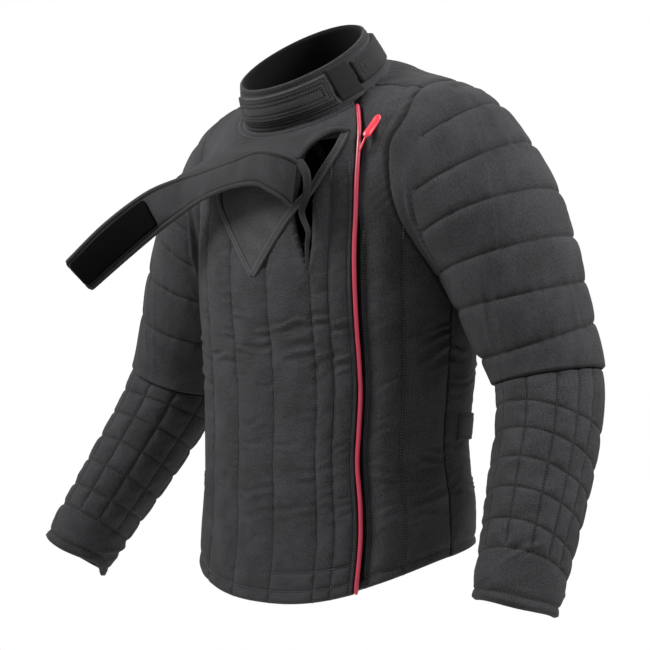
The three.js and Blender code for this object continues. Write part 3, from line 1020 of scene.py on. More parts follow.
# Arm sections from the sleeve head to the cuff: centre, half width, half depth, outer and front rise;
# the two arms hang a little differently
LEFT_ARM_ROWS = (
    (122, 54, -70, 36, 62, 0, 0),
    (156, 60, -86, 93, 86, -8, -4),
    (211, 71, -150, 93, 101, -16, -6),
    (258, 72, -220, 83, 91, -18, -8),
    (295, 72, -299, 74, 80, -16, -12),
    (326, 69, -366, 64, 70, -11, -16),
    (347, 40, -432, 61, 63, -4, -4),
    (366, -4, -503, 58, 59, 0, 0),
    (385, -51, -576, 52, 53, 0, 0),
    (396, -79, -622, 49, 50, 0, 0),
)
RIGHT_ARM_ROWS = (
    (122, 54, -73, 36, 61, 0, 0),
    (156, 60, -91, 91, 84, -8, -4),
    (213, 68, -151, 92, 100, -16, -6),
    (264, 70, -220, 87, 94, -18, -8),
    (302, 70, -299, 78, 83, -16, -12),
    (331, 67, -366, 66, 72, -11, -16),
    (349, 40, -432, 62, 64, -4, -4),
    (366, -3, -503, 58, 59, 0, 0),
    (384, -49, -576, 52, 53, 0, 0),
    (395, -77, -622, 49, 50, 0, 0),
)
ARMS = {
    Side.LEFT: ArmForm(LEFT_ARM_ROWS, Side.LEFT),
    Side.RIGHT: ArmForm(RIGHT_ARM_ROWS, Side.RIGHT, slant=14 * MM, drop=12 * MM),
}
ELBOW, WRIST = 5, len(LEFT_ARM_ROWS) - 1


# Padding and stitches


# Distance from a sewn line within which cloth is held down
HELD = 0.4 * MM
# Width of a seam to another piece, and share of the distance past it that counts for its painted shade line
SEAM_WIDTH = 1.5 * MM
SEAM_SHADE = 0.5


def rim(distance: Array, radius: float, least: float) -> Array:
    """Share of the padding left at a distance from an edge, rounded as a quarter circle."""
    near = np.clip(distance / radius, 0, 1)
    return np.maximum(np.sqrt(1 - (1 - near) ** 2), least)


def grid_normals(points: Array, wrap: bool = False) -> Array:
    """Unit normals of a grid of points, from its two runs of differences.

    Args:
        points: Grid, (rows, columns, 3).
        wrap: Whether the last column joins the first.

    Returns:
        Normals, as the cross product of the column run with the row run.
    """
    if wrap:
        across = np.roll(points, -1, axis=1) - np.roll(points, 1, axis=1)
    else:
        across = np.gradient(points, axis=1)
    return unit(np.cross(across, np.gradient(points, axis=0)))


@dataclass(frozen=True)
class ClothSettle:
    """Blows cloth out between its sewn lines with the cloth solver, which folds its slack.

    The cloth is a little larger than the form it is sewn to, more so where it is slack.
    """

    pressure: float = 4.0
    taut: float = 0.003
    slack: float = 0.022
    frames: int = 20
    limit: float = 5 * MM
    levels: int = 10

    def moves(self, points: Array, held: Array, slack: Array, wrap: bool, turned: bool) -> Array:
        """Settles every second point of a grid and reads the moves of all of them.

        Args:
            points: Grid of points, (rows, columns, 3).
            held: Points that are sewn down.
            slack: Slackness of the cloth, from 0 to 1.
            wrap: Whether the last column joins the first.
            turned: Whether the grid's normals point into the padding.

        Returns:
            Moves, (rows, columns, 3).
        """
        coarse = points[::2, ::2]
        rows, columns = coarse.shape[:2]
        quads, _ = grid_faces(rows, columns, columns if wrap else columns - 1)
        mesh = bpy.data.meshes.new("settling")
        mesh.from_pydata(coarse.reshape(-1, 3), [], quads[:, ::-1] if turned else quads)
        cloth = bpy.data.objects.new("settling", mesh)
        scene = bpy.context.scene
        scene.collection.objects.link(cloth)
        sewn = cloth.vertex_groups.new(name="sewn")
        sewn.add(np.flatnonzero(held[::2, ::2]).tolist(), 1.0, "REPLACE")
        loose = cloth.vertex_groups.new(name="loose")
        level = np.round(slack[::2, ::2].ravel() * self.levels).astype(int)
        for step in range(1, self.levels + 1):
            loose.add(np.flatnonzero(level == step).tolist(), step / self.levels, "REPLACE")
        solver = cloth.modifiers.new("settling", "CLOTH")
        settings = solver.settings
        settings.vertex_group_mass = sewn.name
        settings.vertex_group_shrink = loose.name
        settings.shrink_min = -self.taut
        settings.shrink_max = -self.slack
        settings.use_pressure = True
        settings.uniform_pressure_force = self.pressure
        settings.effector_weights.gravity = 0
        solver.collision_settings.use_collision = False
        solver.point_cache.frame_end = self.frames
        for frame in range(1, self.frames + 1):
            scene.frame_set(frame)
        settled = cloth.evaluated_get(bpy.context.evaluated_depsgraph_get())
        places = np.empty(rows * columns * 3, np.float32)
        settled.data.vertices.foreach_get("co", places)
        move = places.reshape(coarse.shape) - coarse
        bpy.data.objects.remove(cloth)
        bpy.data.meshes.remove(mesh)
        scene.frame_set(1)
        length = np.linalg.norm(move, axis=-1, keepdims=True)
        LOG.info("settled by up to %.1f mm, %.1f mm on average", length.max() / MM, length.mean() / MM)
        move = move * np.minimum(1, self.limit / np.maximum(length, 1e-9))
        return self.refined(move, points.shape, wrap)

    def refined(self, move: Array, shape: tuple[int, ...], wrap: bool) -> Array:
        """Reads moves of every second point at all points, on cubics along rows and columns."""
        tall = spline(move, np.arange(shape[0]) / 2)
        if not wrap:
            return np.swapaxes(spline(np.swapaxes(tall, 0, 1), np.arange(shape[1]) / 2), 0, 1)
        ringed = np.concatenate([tall[:, -2:], tall, tall[:, :2]], axis=1)
        return np.swapaxes(spline(np.swapaxes(ringed, 0, 1), np.arange(shape[1]) / 2 + 2), 0, 1)


@dataclass(frozen=True)
class Quilting:
    """How padding swells between stitched lines.

    Near a line the face falls by the depth times e to the minus distance over reach. Mid-channel it
    stands up by the crown. Ripples across the line fade away from it.
    """

    depth: float = 2.2 * MM
    reach: float = 3.0 * MM
    crown: float = 0.8 * MM
    pucker: float = 0.9 * MM
    pucker_pitch: float = 9 * MM
    pucker_reach: float = 14 * MM
    seed: int = 1

    def height(self, gap: Array, half: Array, across: Array, along: Array) -> Array:
        """Height of the face over the form.

        Args:
            gap: Distance to the nearest stitched line.
            half: Half the width of the channel there.
            across: Place across the stitched lines.
            along: Place along the stitched lines.

        Returns:
            Heights in metres.
        """
        pull = -self.depth * np.exp(-gap / self.reach)
        fill = self.crown * (1 - (1 - np.clip(gap / half, 0, 1)) ** 2)
        ripple = SmoothNoise(self.seed).at(across / (3 * self.pucker_pitch), along / self.pucker_pitch)
        return pull + fill + ripple * self.pucker * np.exp(-gap / self.pucker_reach)


@dataclass
class QuiltedSheet:
    """A quilted wall on a grid, its form given and its padding and folds worked out.

    Across and along are places over and along the stitched lines, gap the distance to the nearest of
    them, half the half width of a channel, full the share of the padding that rims leave, lift a move of
    the whole wall out from the form, and uv has one more column where the grid wraps.
    """

    name: str
    base: Array
    normal: Array
    across: Array
    along: Array
    gap: Array
    half: Array
    full: Array
    lift: Array
    slack: Array
    quilting: Quilting
    uv: Array
    keep: Array | None = None
    settle: ClothSettle = ClothSettle()

    def build(self, nodes: tuple[str, ...], fill: float, beside: Array | None = None) -> Array:
        """Builds the piece.

        Args:
            nodes: CAD nodes that it stands for.
            fill: Fullness of the padding.
            beside: Points of a piece that it is sewn to, whose seam gets a painted shade line, or None.

        Returns:
            Points of its outer face.
        """
        wrap = self.uv.shape[1] > self.base.shape[1]
        height = self.quilting.height(self.gap, self.half, self.across, self.along)
        outside = -PAD / 2 + self.full * (height + PAD / 2) + self.lift
        inside = -PAD / 2 - self.full * PAD / 2 + self.lift
        outer = self.base + self.normal * outside[..., None]
        inner = self.base + self.normal * inside[..., None]
        turned = float((grid_normals(outer, wrap) * self.normal).sum()) < 0
        held = self.gap < HELD
        held[[0, -1]] = True
        if not wrap:
            held[:, [0, -1]] = True
        if self.keep is not None:
            around = np.pad(self.keep, 1, mode="wrap" if wrap else "edge")
            bare = ~cell_corners(around).all(0)
            held |= bare[:, : held.shape[1]]
        move = self.settle.moves(outer, held, self.slack, wrap, turned)
        outer = outer + move * self.full[..., None]
        line = self.gap
        # Paints a line of shade along the seam to the piece beside
        if beside is not None:
            past = np.maximum(distance_to(outer, beside) - SEAM_WIDTH, 0)
            line = np.minimum(line, SEAM_SHADE * past)
        draft = shell(outer, inner, self.uv, line, self.keep, wrap)
        draft.dressed(self.name, [BODY_CLOTH, LINING], Slot.CLOTH, nodes, fill)
        return outer


# A stitch from end to end: place as a share of its length, then lift and thickness in radii
STITCH_PROFILE = ((-0.5, -0.7, 0.45), (-0.28, 0.45, 1.0), (0.28, 0.45, 1.0), (0.5, -0.7, 0.45))


@dataclass
class StitchBatch:
    """Rows of short thread stitches that share one mesh.

    The thread is drawn about twice as thick as real thread, which is too fine to show.
    """

    name: str
    pitch: float = 3.5 * MM
    finish: Finish = THREAD
    length: float = 1.9 * MM
    radius: float = 0.36 * MM
    sides: int = 6
    rows: list[tuple[Array, Array, Array]] = field(default_factory=list)

    def add(self, path: Array, normal: Array, shown: Array | None = None) -> None:
        """Adds a row of stitches along a path.

        Args:
            path: Points of the path, (n, 3).
            normal: Outward directions along it, (n, 3).
            shown: Where stitches show, or None for everywhere.
        """
        at = resampled(path, self.pitch)
        near = np.clip(np.round(at).astype(int), 0, len(path) - 1)
        reach = 0.2
        along = unit(spline(path, at + reach) - spline(path, at - reach))
        use = np.ones(len(at), bool) if shown is None else shown[near]
        use = use & (np.linalg.norm(along, axis=1) > 0.5)
        self.rows.append((spline(path, at)[use], along[use], unit(spline(normal, at))[use]))

    def add_ring(self, ring: Array, normal: Array, shown: Array | None = None) -> None:
        """Adds a row of stitches round a closed ring of points."""
        self.add(*(None if part is None else closed(part[None])[0] for part in (ring, normal, shown)))

    def build(self) -> None:
        """Makes every stitch a short bowed thread whose ends dip into the cloth."""
        centre, along, normal = (np.concatenate(part) for part in zip(*self.rows))
        place, lift, thick = np.array(STITCH_PROFILE).T
        steps = place * self.length
        lift = lift * self.radius
        thick = thick[:, None] * self.radius
        turn = np.linspace(0, 2 * math.pi, self.sides, endpoint=False)
        sideways = unit(np.cross(along, normal))
        out = np.cross(sideways, along)
        rings = (
            centre[:, None, None]
            + steps[None, :, None, None] * along[:, None, None]
            + (thick * np.cos(turn))[None, ..., None] * sideways[:, None, None]
            + (lift[:, None] + thick * np.sin(turn))[None, ..., None] * out[:, None, None]
        )
        one = tube(rings[0], np.zeros((len(steps), self.sides + 1, 2)))
        shift = np.arange(len(centre))[:, None, None] * (len(steps) * self.sides)
        quads = (one.quads[None] + shift).reshape(-1, 4)
        draft = Draft(
            rings.reshape(-1, 3),
            quads,
            np.zeros((len(quads), 4, 2)),
            np.full(rings.size // 3, FAR),
            np.zeros(len(quads), int),
        )
        draft.dressed(self.name, [self.finish], Slot.CLOTH)


# Body


# Rings of the body: top of the hem, and where widths are measured
HEM_TOP = 0.2
WAIST = 3.0
EDGE_COLUMN = 7
LAP_SHARE = 0.2
LAP_DEGREES = 9
LAP_SINK = 11.5 * MM
LAP_RAMP_DEGREES = 14
# Outline of the throat opening in X and Z, in millimetres
THROAT_OPENING = (
    (112, -72), (84, -74), (70, -90), (65, -108), (64, -130), (55, -160),
    (62, -190), (80, -238), (84, -205), (84, -150), (96, -112), (112, -72),
)
OUTLINE_STEPS = 12
# Bib: height, and its left and right edge in X, in millimetres
BIB_ROWS = ((-240, -11, -6), (-168, -65, 50), (-140, -74, 52), (-112, -76, 54))
# Pocket under the bib
BIB_POCKET = 4 * MM
BIB_SLOPE = 5 * MM
# Hollow beside the opened flap: its middle in X and Z, its reach in X and Z, and its depth
SAG_MIDDLE = (118 * MM, -180 * MM)
SAG_REACH = (19 * MM, 52 * MM)
SAG_DEPTH = 8 * MM
# Shoulder seam of a front: angle from the centre front and ring index, from the shoulder to the edge
SHOULDER_SEAM = ((112, 7.14), (83, 6.68), (72, 6.42), (63, 6.22), (57, 6.04), (54, 5.9))
SEAM_DEPTH = 1.2 * MM
# Reach of the join of body and sleeve: under the arm, more on the shoulder, and more again on its top
UNDERARM_REACH = 12 * MM
SHOULDER_REACH = 34 * MM
SHOULDER_HEIGHTS = (-215 * MM, -130 * MM)
TOP_REACH = 30 * MM
TOP_HEIGHTS = (-120 * MM, -50 * MM)
CREASE_DEPTH = 1.8 * MM
CREASE_WIDTH = 3 * MM
# Cut inside a sleeve: its depth and lowest ring
HOLLOW = 18 * MM
HOLLOW_RING = 4
# Heights of the folds at the waist and over the hem: lowest, highest and ease
WAIST_FOLDS = (-365 * MM, -295 * MM, 30 * MM)
HEM_FOLDS = (-520 * MM, -440 * MM, 25 * MM)
HEM_FOLD_SHARE = 0.5
# Shares of fold and slackness left elsewhere, and fade beside a sewn line
FOLD_LEAST = 0.18
SLACK_LEAST = 0.15
FOLD_FADE = (-2 * MM, 4 * MM)
# Shares of the padding left
EDGE_LEAST = 0.3
HEM_LEAST = 0.15


def body_edge(index: Array) -> Array:
    """Angle of the lapping front edge at ring indexes."""
    return BODY.ring(np.asarray(index, float))[EDGE_COLUMN]


def index_rows(stops: list[float], degrees: tuple[float, ...], step: float) -> Array:
    """Ring indexes in steps of about equal length up the body, through given stops.

    Args:
        stops: Ring indexes that must be kept.
        degrees: Angles over which the length is averaged.
        step: Wanted step, in metres.

    Returns:
        Indexes.
    """
    fine = np.linspace(0, BODY.last, 1601)
    length = run_length(BODY.place(np.array(degrees)[None], fine[:, None]), 0).mean(1)
    marks = np.interp(stops, fine, length)
    return np.interp(divided(marks, step)[0], length, fine)


def armhole_reach(z: Array) -> Array:
    """How far the body and a sleeve run into each other: far on the shoulder, little under the arm."""
    shoulder = SHOULDER_REACH * smooth_step(z, *SHOULDER_HEIGHTS)
    return UNDERARM_REACH + shoulder + TOP_REACH * smooth_step(z, *TOP_HEIGHTS)


def armhole_lift(distance: Array, z: Array) -> Array:
    """Smooth join of two surfaces: a quarter of the reach, falling as the square of what is left of it.

    Args:
        distance: Distance to the other surface.
        z: Height.

    Returns:
        Move out from the surface, with a narrow crease at the join itself.
    """
    reach = armhole_reach(z)
    outside = np.maximum(distance, 0)
    near = np.clip(1 - outside / reach, 0, 1)
    return reach / 4 * near**2 - CREASE_DEPTH * np.exp(-outside / CREASE_WIDTH)


@dataclass
class BodyPanel:
    """One quilted panel of the body with its hem, cut open for the sleeves and the throat.

    Attributes:
        lines: Shares of the width at which it is quilted, both edges included.
        quilt_top: Ring indexes between which the quilting fades out.
        cross_lines: Sewn lines across it, as ring index, first and last share.
        hem: Ring index at which its hem starts at the first edge.
        hem_slope: Ring index up to which that shows.
        channel_jump: Fold lengths by which the folds of one channel miss those of the next.
    """

    panel: Panel
    lines: tuple[float, ...]
    quilt_top: Pair
    seed: int
    cross_lines: tuple[Triple, ...] = ()
    hem: float = 0.0
    hem_slope: float = 0.6
    step: float = 2.5 * MM
    gather: float = 0.4
    edge: float = 3 * MM
    fold: float = 4.4 * MM
    fold_length: float = 42 * MM
    fold_pitch: float = 15 * MM
    channel_jump: float = 7.37

    def angles(self, share: Array, index: Array) -> Array:
        """Angle of a share of the panel's width at ring indexes.

        Args:
            share: Shares from the first edge to the last, (columns,).
            index: Ring indexes, (rows,).

        Returns:
            Angles, (rows, columns).
        """
        lap = body_edge(index)[:, None]
        share = share[None]
        if self.panel is Panel.FRONT_RIGHT:
            return -90 + (lap + 90) * share
        if self.panel is Panel.BACK:
            return 90 + 180 * share + 0 * lap
        under = lap - LAP_DEGREES + LAP_DEGREES * share / LAP_SHARE
        beyond = lap + (90 - lap) * (share - LAP_SHARE) / (1 - LAP_SHARE)
        return np.where(share <= LAP_SHARE, under, beyond)

    def sink(self, degrees: Array, index: Array) -> Array:
        """How far the left panel lies below the form, where the right one laps over it."""
        if self.panel is not Panel.FRONT_LEFT:
            return np.zeros_like(degrees)
        beyond = (degrees - body_edge(index)[:, None]) / LAP_RAMP_DEGREES
        return LAP_SINK * (1 - smooth_step(beyond, 0, 1))

    def pocket(self, points: Array) -> Array:
        """How far the right front lies lower: under the bib, and in a bell-shaped hollow by the flap."""
        if self.panel is not Panel.FRONT_RIGHT:
            return np.zeros(points.shape[:-1])
        x, z = points[..., 0], points[..., 2]
        heights, left, right = np.array(BIB_ROWS, float).T * MM
        inside = np.minimum(x - np.interp(z, heights, left), np.interp(z, heights, right) - x)
        front = (z > heights[0]) & (z < heights[-1]) & (points[..., 1] < 0)
        across, up = (x - SAG_MIDDLE[0]) / SAG_REACH[0], (z - SAG_MIDDLE[1]) / SAG_REACH[1]
        sag = SAG_DEPTH * np.exp(-(across**2) - up**2) * (points[..., 1] < 0)
        return BIB_POCKET * smooth_step(inside, 0, BIB_SLOPE) * front + sag

    def seam(self) -> tuple[Array, Array]:
        """Shoulder seam of a front: its points and outward directions."""
        mirror = -1 if self.panel is Panel.FRONT_RIGHT else 1
        degrees, index = walked(SHOULDER_SEAM, 0.3, 1.0).T
        place = (degrees * mirror, index)
        return BODY.point(*place, -SEAM_DEPTH), BODY.normal(*place)

    def grid(self) -> tuple[Array, Array, float]:
        """Ring indexes and shares of the grid in about equal steps, and the panel's width."""
        waist = np.array([WAIST])
        middle = self.angles(np.array([0.2, 0.5, 0.8]), waist)[0]
        stops = sorted({0.0, HEM_TOP, BODY.last, *(line[0] for line in self.cross_lines)})
        index = index_rows(stops, tuple(middle), self.step)
        first, last = self.angles(np.array([0.0, 1.0]), waist)[0]
        width = run_length(BODY.place(np.linspace(first, last, 200), waist)[None], 1)[0, -1]
        stops = sorted({*self.lines, self.edge / width, 1 - self.edge / width})
        share, _ = divided(stops, self.step, self.gather, width)
        return index, share, width

    def build(self, sleeves: Array, armholes: Array) -> None:
        """Builds the panel and its stitches.

        Args:
            sleeves: Points of the sleeves' surfaces outside the body, (n, 3).
            armholes: Points of the sleeves' outer faces next to the body, (n, 3).
        """
        index, share, width = self.grid()
        columns = nearest(share, self.lines)
        rows = nearest(index, tuple(line[0] for line in self.cross_lines))
        hem_row = nearest(index, (HEM_TOP,))[0]
        hem = self.hem * (1 - share)[None] * np.clip(1 - index / self.hem_slope, 0, 1)[:, None]
        degrees, rings, keep, cut = self.opened(self.angles(share, index), index[:, None] + hem)

        base, normal = BODY.place(degrees, rings), BODY.normal(degrees, rings)
        across, along = run_length(base, 1), run_length(base, 0)
        gap, half = line_gaps(across, across[:, columns].T[..., None])
        sewn = 1 - smooth_step(rings, *self.quilt_top)
        gap = gap + (1 - sewn) * FAR
        gap = np.minimum(gap, line_gaps(along, along[None, [hem_row]])[0])
        for row, (_, first, last) in zip(rows, self.cross_lines):
            outside = np.maximum(np.maximum(first - share, share - last), 0)[None] * width
            gap = np.minimum(gap, np.abs(along - along[row]) + outside)
        if self.panel is not Panel.BACK:
            gap = np.minimum(gap, distance_to(base, self.seam()[0]))
        side = np.minimum(end_distance(across, 1), cut)
        full = np.minimum(rim(side, self.edge, EDGE_LEAST), rim(along, self.edge, HEM_LEAST))
        z = base[..., 2]
        join = armhole_lift(distance_to(base, sleeves), z)
        shown = window(z, *WAIST_FOLDS) + HEM_FOLD_SHARE * window(z, *HEM_FOLDS)
        channel = np.searchsorted(np.array(self.lines), share)[None] * self.channel_jump
        folds = Folds(self.seed + 1, self.fold_length, self.fold_pitch, self.fold)
        fold = folds.at(across + channel * self.fold_length, along)
        fold = fold * (FOLD_LEAST + (1 - FOLD_LEAST) * shown) * smooth_step(gap, *FOLD_FADE) * full
        slack = np.clip(SLACK_LEAST + (1 - SLACK_LEAST) * shown, 0, 1) * sewn
        sheet = QuiltedSheet(
            self.panel.value + "_quilted", base, normal, across, along, gap, half, full,
            join + fold - self.pocket(base) - self.sink(degrees, index), slack,
            Quilting(seed=self.seed), np.stack([across, along], axis=-1), keep,
        )
        outer = sheet.build((self.panel.value, "hem_" + self.panel.value), 0.5, armholes)
        batch = StitchBatch(self.panel.value + "_stitches", finish=LIGHT_THREAD, radius=0.4 * MM)
        shown = np.pad(keep, ((0, 1), (0, 1)), mode="edge") & np.pad(keep, ((1, 0), (1, 0)), mode="edge")
        for column in columns[1:-1]:
            batch.add(outer[:, column], normal[:, column], shown[:, column] & (sewn[:, column] > 0.5))
        batch.add(outer[hem_row], normal[hem_row], shown[hem_row])
        for row, (_, first, last) in zip(rows, self.cross_lines):
            batch.add(outer[row], normal[row], shown[row] & (share >= first) & (share <= last))
        if self.panel is not Panel.BACK:
            batch.add(*self.seam())
        batch.build()

    def opened(self, degrees: Array, rings: Array) -> tuple[Array, Array, Array, Array]:
        """Opens the panel for the sleeves, and the right front for the throat.

        Cells inside a sleeve's hollow go. Cells inside the throat outline go too, and the points on the
        rim of that gap move onto the outline.

        Args:
            degrees: Angles of the grid.
            rings: Ring indexes of the grid.

        Returns:
            Angles, indexes, kept cells, and distance from the throat's outline.
        """
        base = BODY.place(degrees, rings)
        hollow = np.zeros(degrees.shape, bool)
        for arm in ARMS.values():
            hollow |= arm.share_of(base, -PAD - HOLLOW) < 1
        keep = ~cell_corners(hollow & (rings > HOLLOW_RING)).all(0)
        if self.panel is not Panel.FRONT_RIGHT:
            return degrees, rings, keep, np.full(degrees.shape, FAR)
        corners = np.array(THROAT_OPENING, float) * MM
        fine = np.linspace(0, len(corners) - 1, OUTLINE_STEPS * len(corners))
        outline = np.stack([np.interp(fine, np.arange(len(corners)), part) for part in corners.T], axis=1)
        x, z = base[..., 0], base[..., 2]
        inside = np.zeros(x.shape, bool)
        for (x0, z0), (x1, z1) in zip(outline[:-1], outline[1:]):
            crosses = (z0 > z) != (z1 > z)
            inside ^= crosses & (x < x0 + (z - z0) * (x1 - x0) / (z1 - z0 + 1e-12))
        inside &= np.cos(np.radians(degrees)) > 0
        far = np.stack([np.hypot(x - x0, z - z0) for x0, z0 in outline])
        gone = cell_corners(inside).mean(0) > 0.5
        around = cell_corners(np.pad(gone, 1))
        border = around.any(0) & ~around.all(0)
        on_degrees, on_rings = BODY.above_front(outline[:, 0], outline[:, 1])
        closest = far.argmin(0)
        degrees = np.where(border, on_degrees[closest], degrees)
        rings = np.where(border, on_rings[closest], rings)
        return degrees, rings, keep & ~gone, np.where(border, 0.0, far.min(0))


# Sleeves


UPPER_LINES = {
    Side.LEFT: (0.84, 1.15, 1.72, 2.38, 3.02, 3.62, 4.35),
    Side.RIGHT: (0.84, 1.15, 1.6, 2.1, 2.65, 3.3, 4.0),
}
FOREARM_LINES = (5.8, 6.33, 6.8, 7.24, 7.66, 8.06)
CUFF_HEM = 8.76
FOREARM_ANGLES = (8, 35, 70, 108, 146, 184, 220, 254, 289, 322, 347)
# First sections and typical radii
UPPER_START = 0.3
FOREARM_START = ELBOW + 0.01
UPPER_RADIUS = 88 * MM
FOREARM_RADIUS = 56 * MM
# Where the upper rings fade on the shoulder: heights, and reach from the body
CAP_HEIGHTS = (-250 * MM, -200 * MM)
CAP_REACH = (10 * MM, 26 * MM)
SEWN_REACH = 8 * MM
# Pleats at the armhole: reach and heights with an ease
PLEATS = Folds(71, 80 * MM, 17 * MM, 6 * MM)
PLEAT_REACH = (6 * MM, 40 * MM, 20 * MM)
PLEAT_HEIGHTS = (-240 * MM, -100 * MM, 40 * MM)
# Slanting folds of the upper part: where they grow from the body and from a sewn line
DRAPE = Folds(72, 110 * MM, 36 * MM, 1.8 * MM, slant=0.4)
DRAPE_REACH = (0, 40 * MM)
DRAPE_FADE = (0, 8 * MM)
# Fullness in front of the shoulder
FRONT_ANGLE, FRONT_SPREAD = 270, 75
PUFF_SECTIONS = (1.0, 2.4, 0.6)
# Flare over the elbow, and how far less the join stands up on top of the shoulder
FLARE = 1 * MM
FLARE_START = 4.3
TOP_EASE = 0.5
# Slackness, and the sections where it is whole
UPPER_SLACK = 0.3
ELBOW_SECTIONS = (3.6, 5, 0.5)
ARMHOLE_SLACK, ARMHOLE_SLACK_REACH = 0.5, (0, 60 * MM)
FOREARM_SLACK = 0.2
CUFF_SLACK_SECTIONS = (8.0, 8.7, 0.4)
# Sections where the forearm's rings lean, where the cuff's lobes grow and where upright lines end
LEAN_SECTIONS = (5.6, 7.8, 0.5)
LOBE_SECTIONS = (7.9, WRIST)
UPRIGHT_END = (8.0, 8.3)
UPRIGHT_STITCH_END = 8.1
# Tuck under the upper part
TUCK = 1.5 * MM
TUCK_END = 5.35
# Wrinkles over the cuff, and faint folds of the forearm
CUFF_WRINKLES = Folds(81, 60 * MM, 24 * MM, 4 * MM, slant=0.3)
CUFF_SECTIONS = (8.05, 8.5, 0.35)
FOREARM_FOLDS = Folds(82, 40 * MM, 22 * MM, 0.7 * MM)
FOREARM_FADE = (0, 6 * MM)
# Rounding of the sleeves' ends, and shares of the padding left there
END_ROUND = 3 * MM
TUCK_LEAST = 0.4
CUFF_LEAST = 0.15


def round_run(degrees: Array, along: Array, radius: float) -> Array:
    """Place round the arm or neck at a typical radius, from its first column, for each row of along."""
    return np.radians(degrees - degrees[0])[None] * radius + 0 * along


def round_cloth(across: Array, along: Array, radius: float) -> Array:
    """Cloth coordinates round and down a tube, with the first column repeated once round."""
    once = 2 * math.pi * radius
    around = np.concatenate([across, across[:, :1] + once], axis=1)
    return np.stack([around, closed(along)], axis=-1)


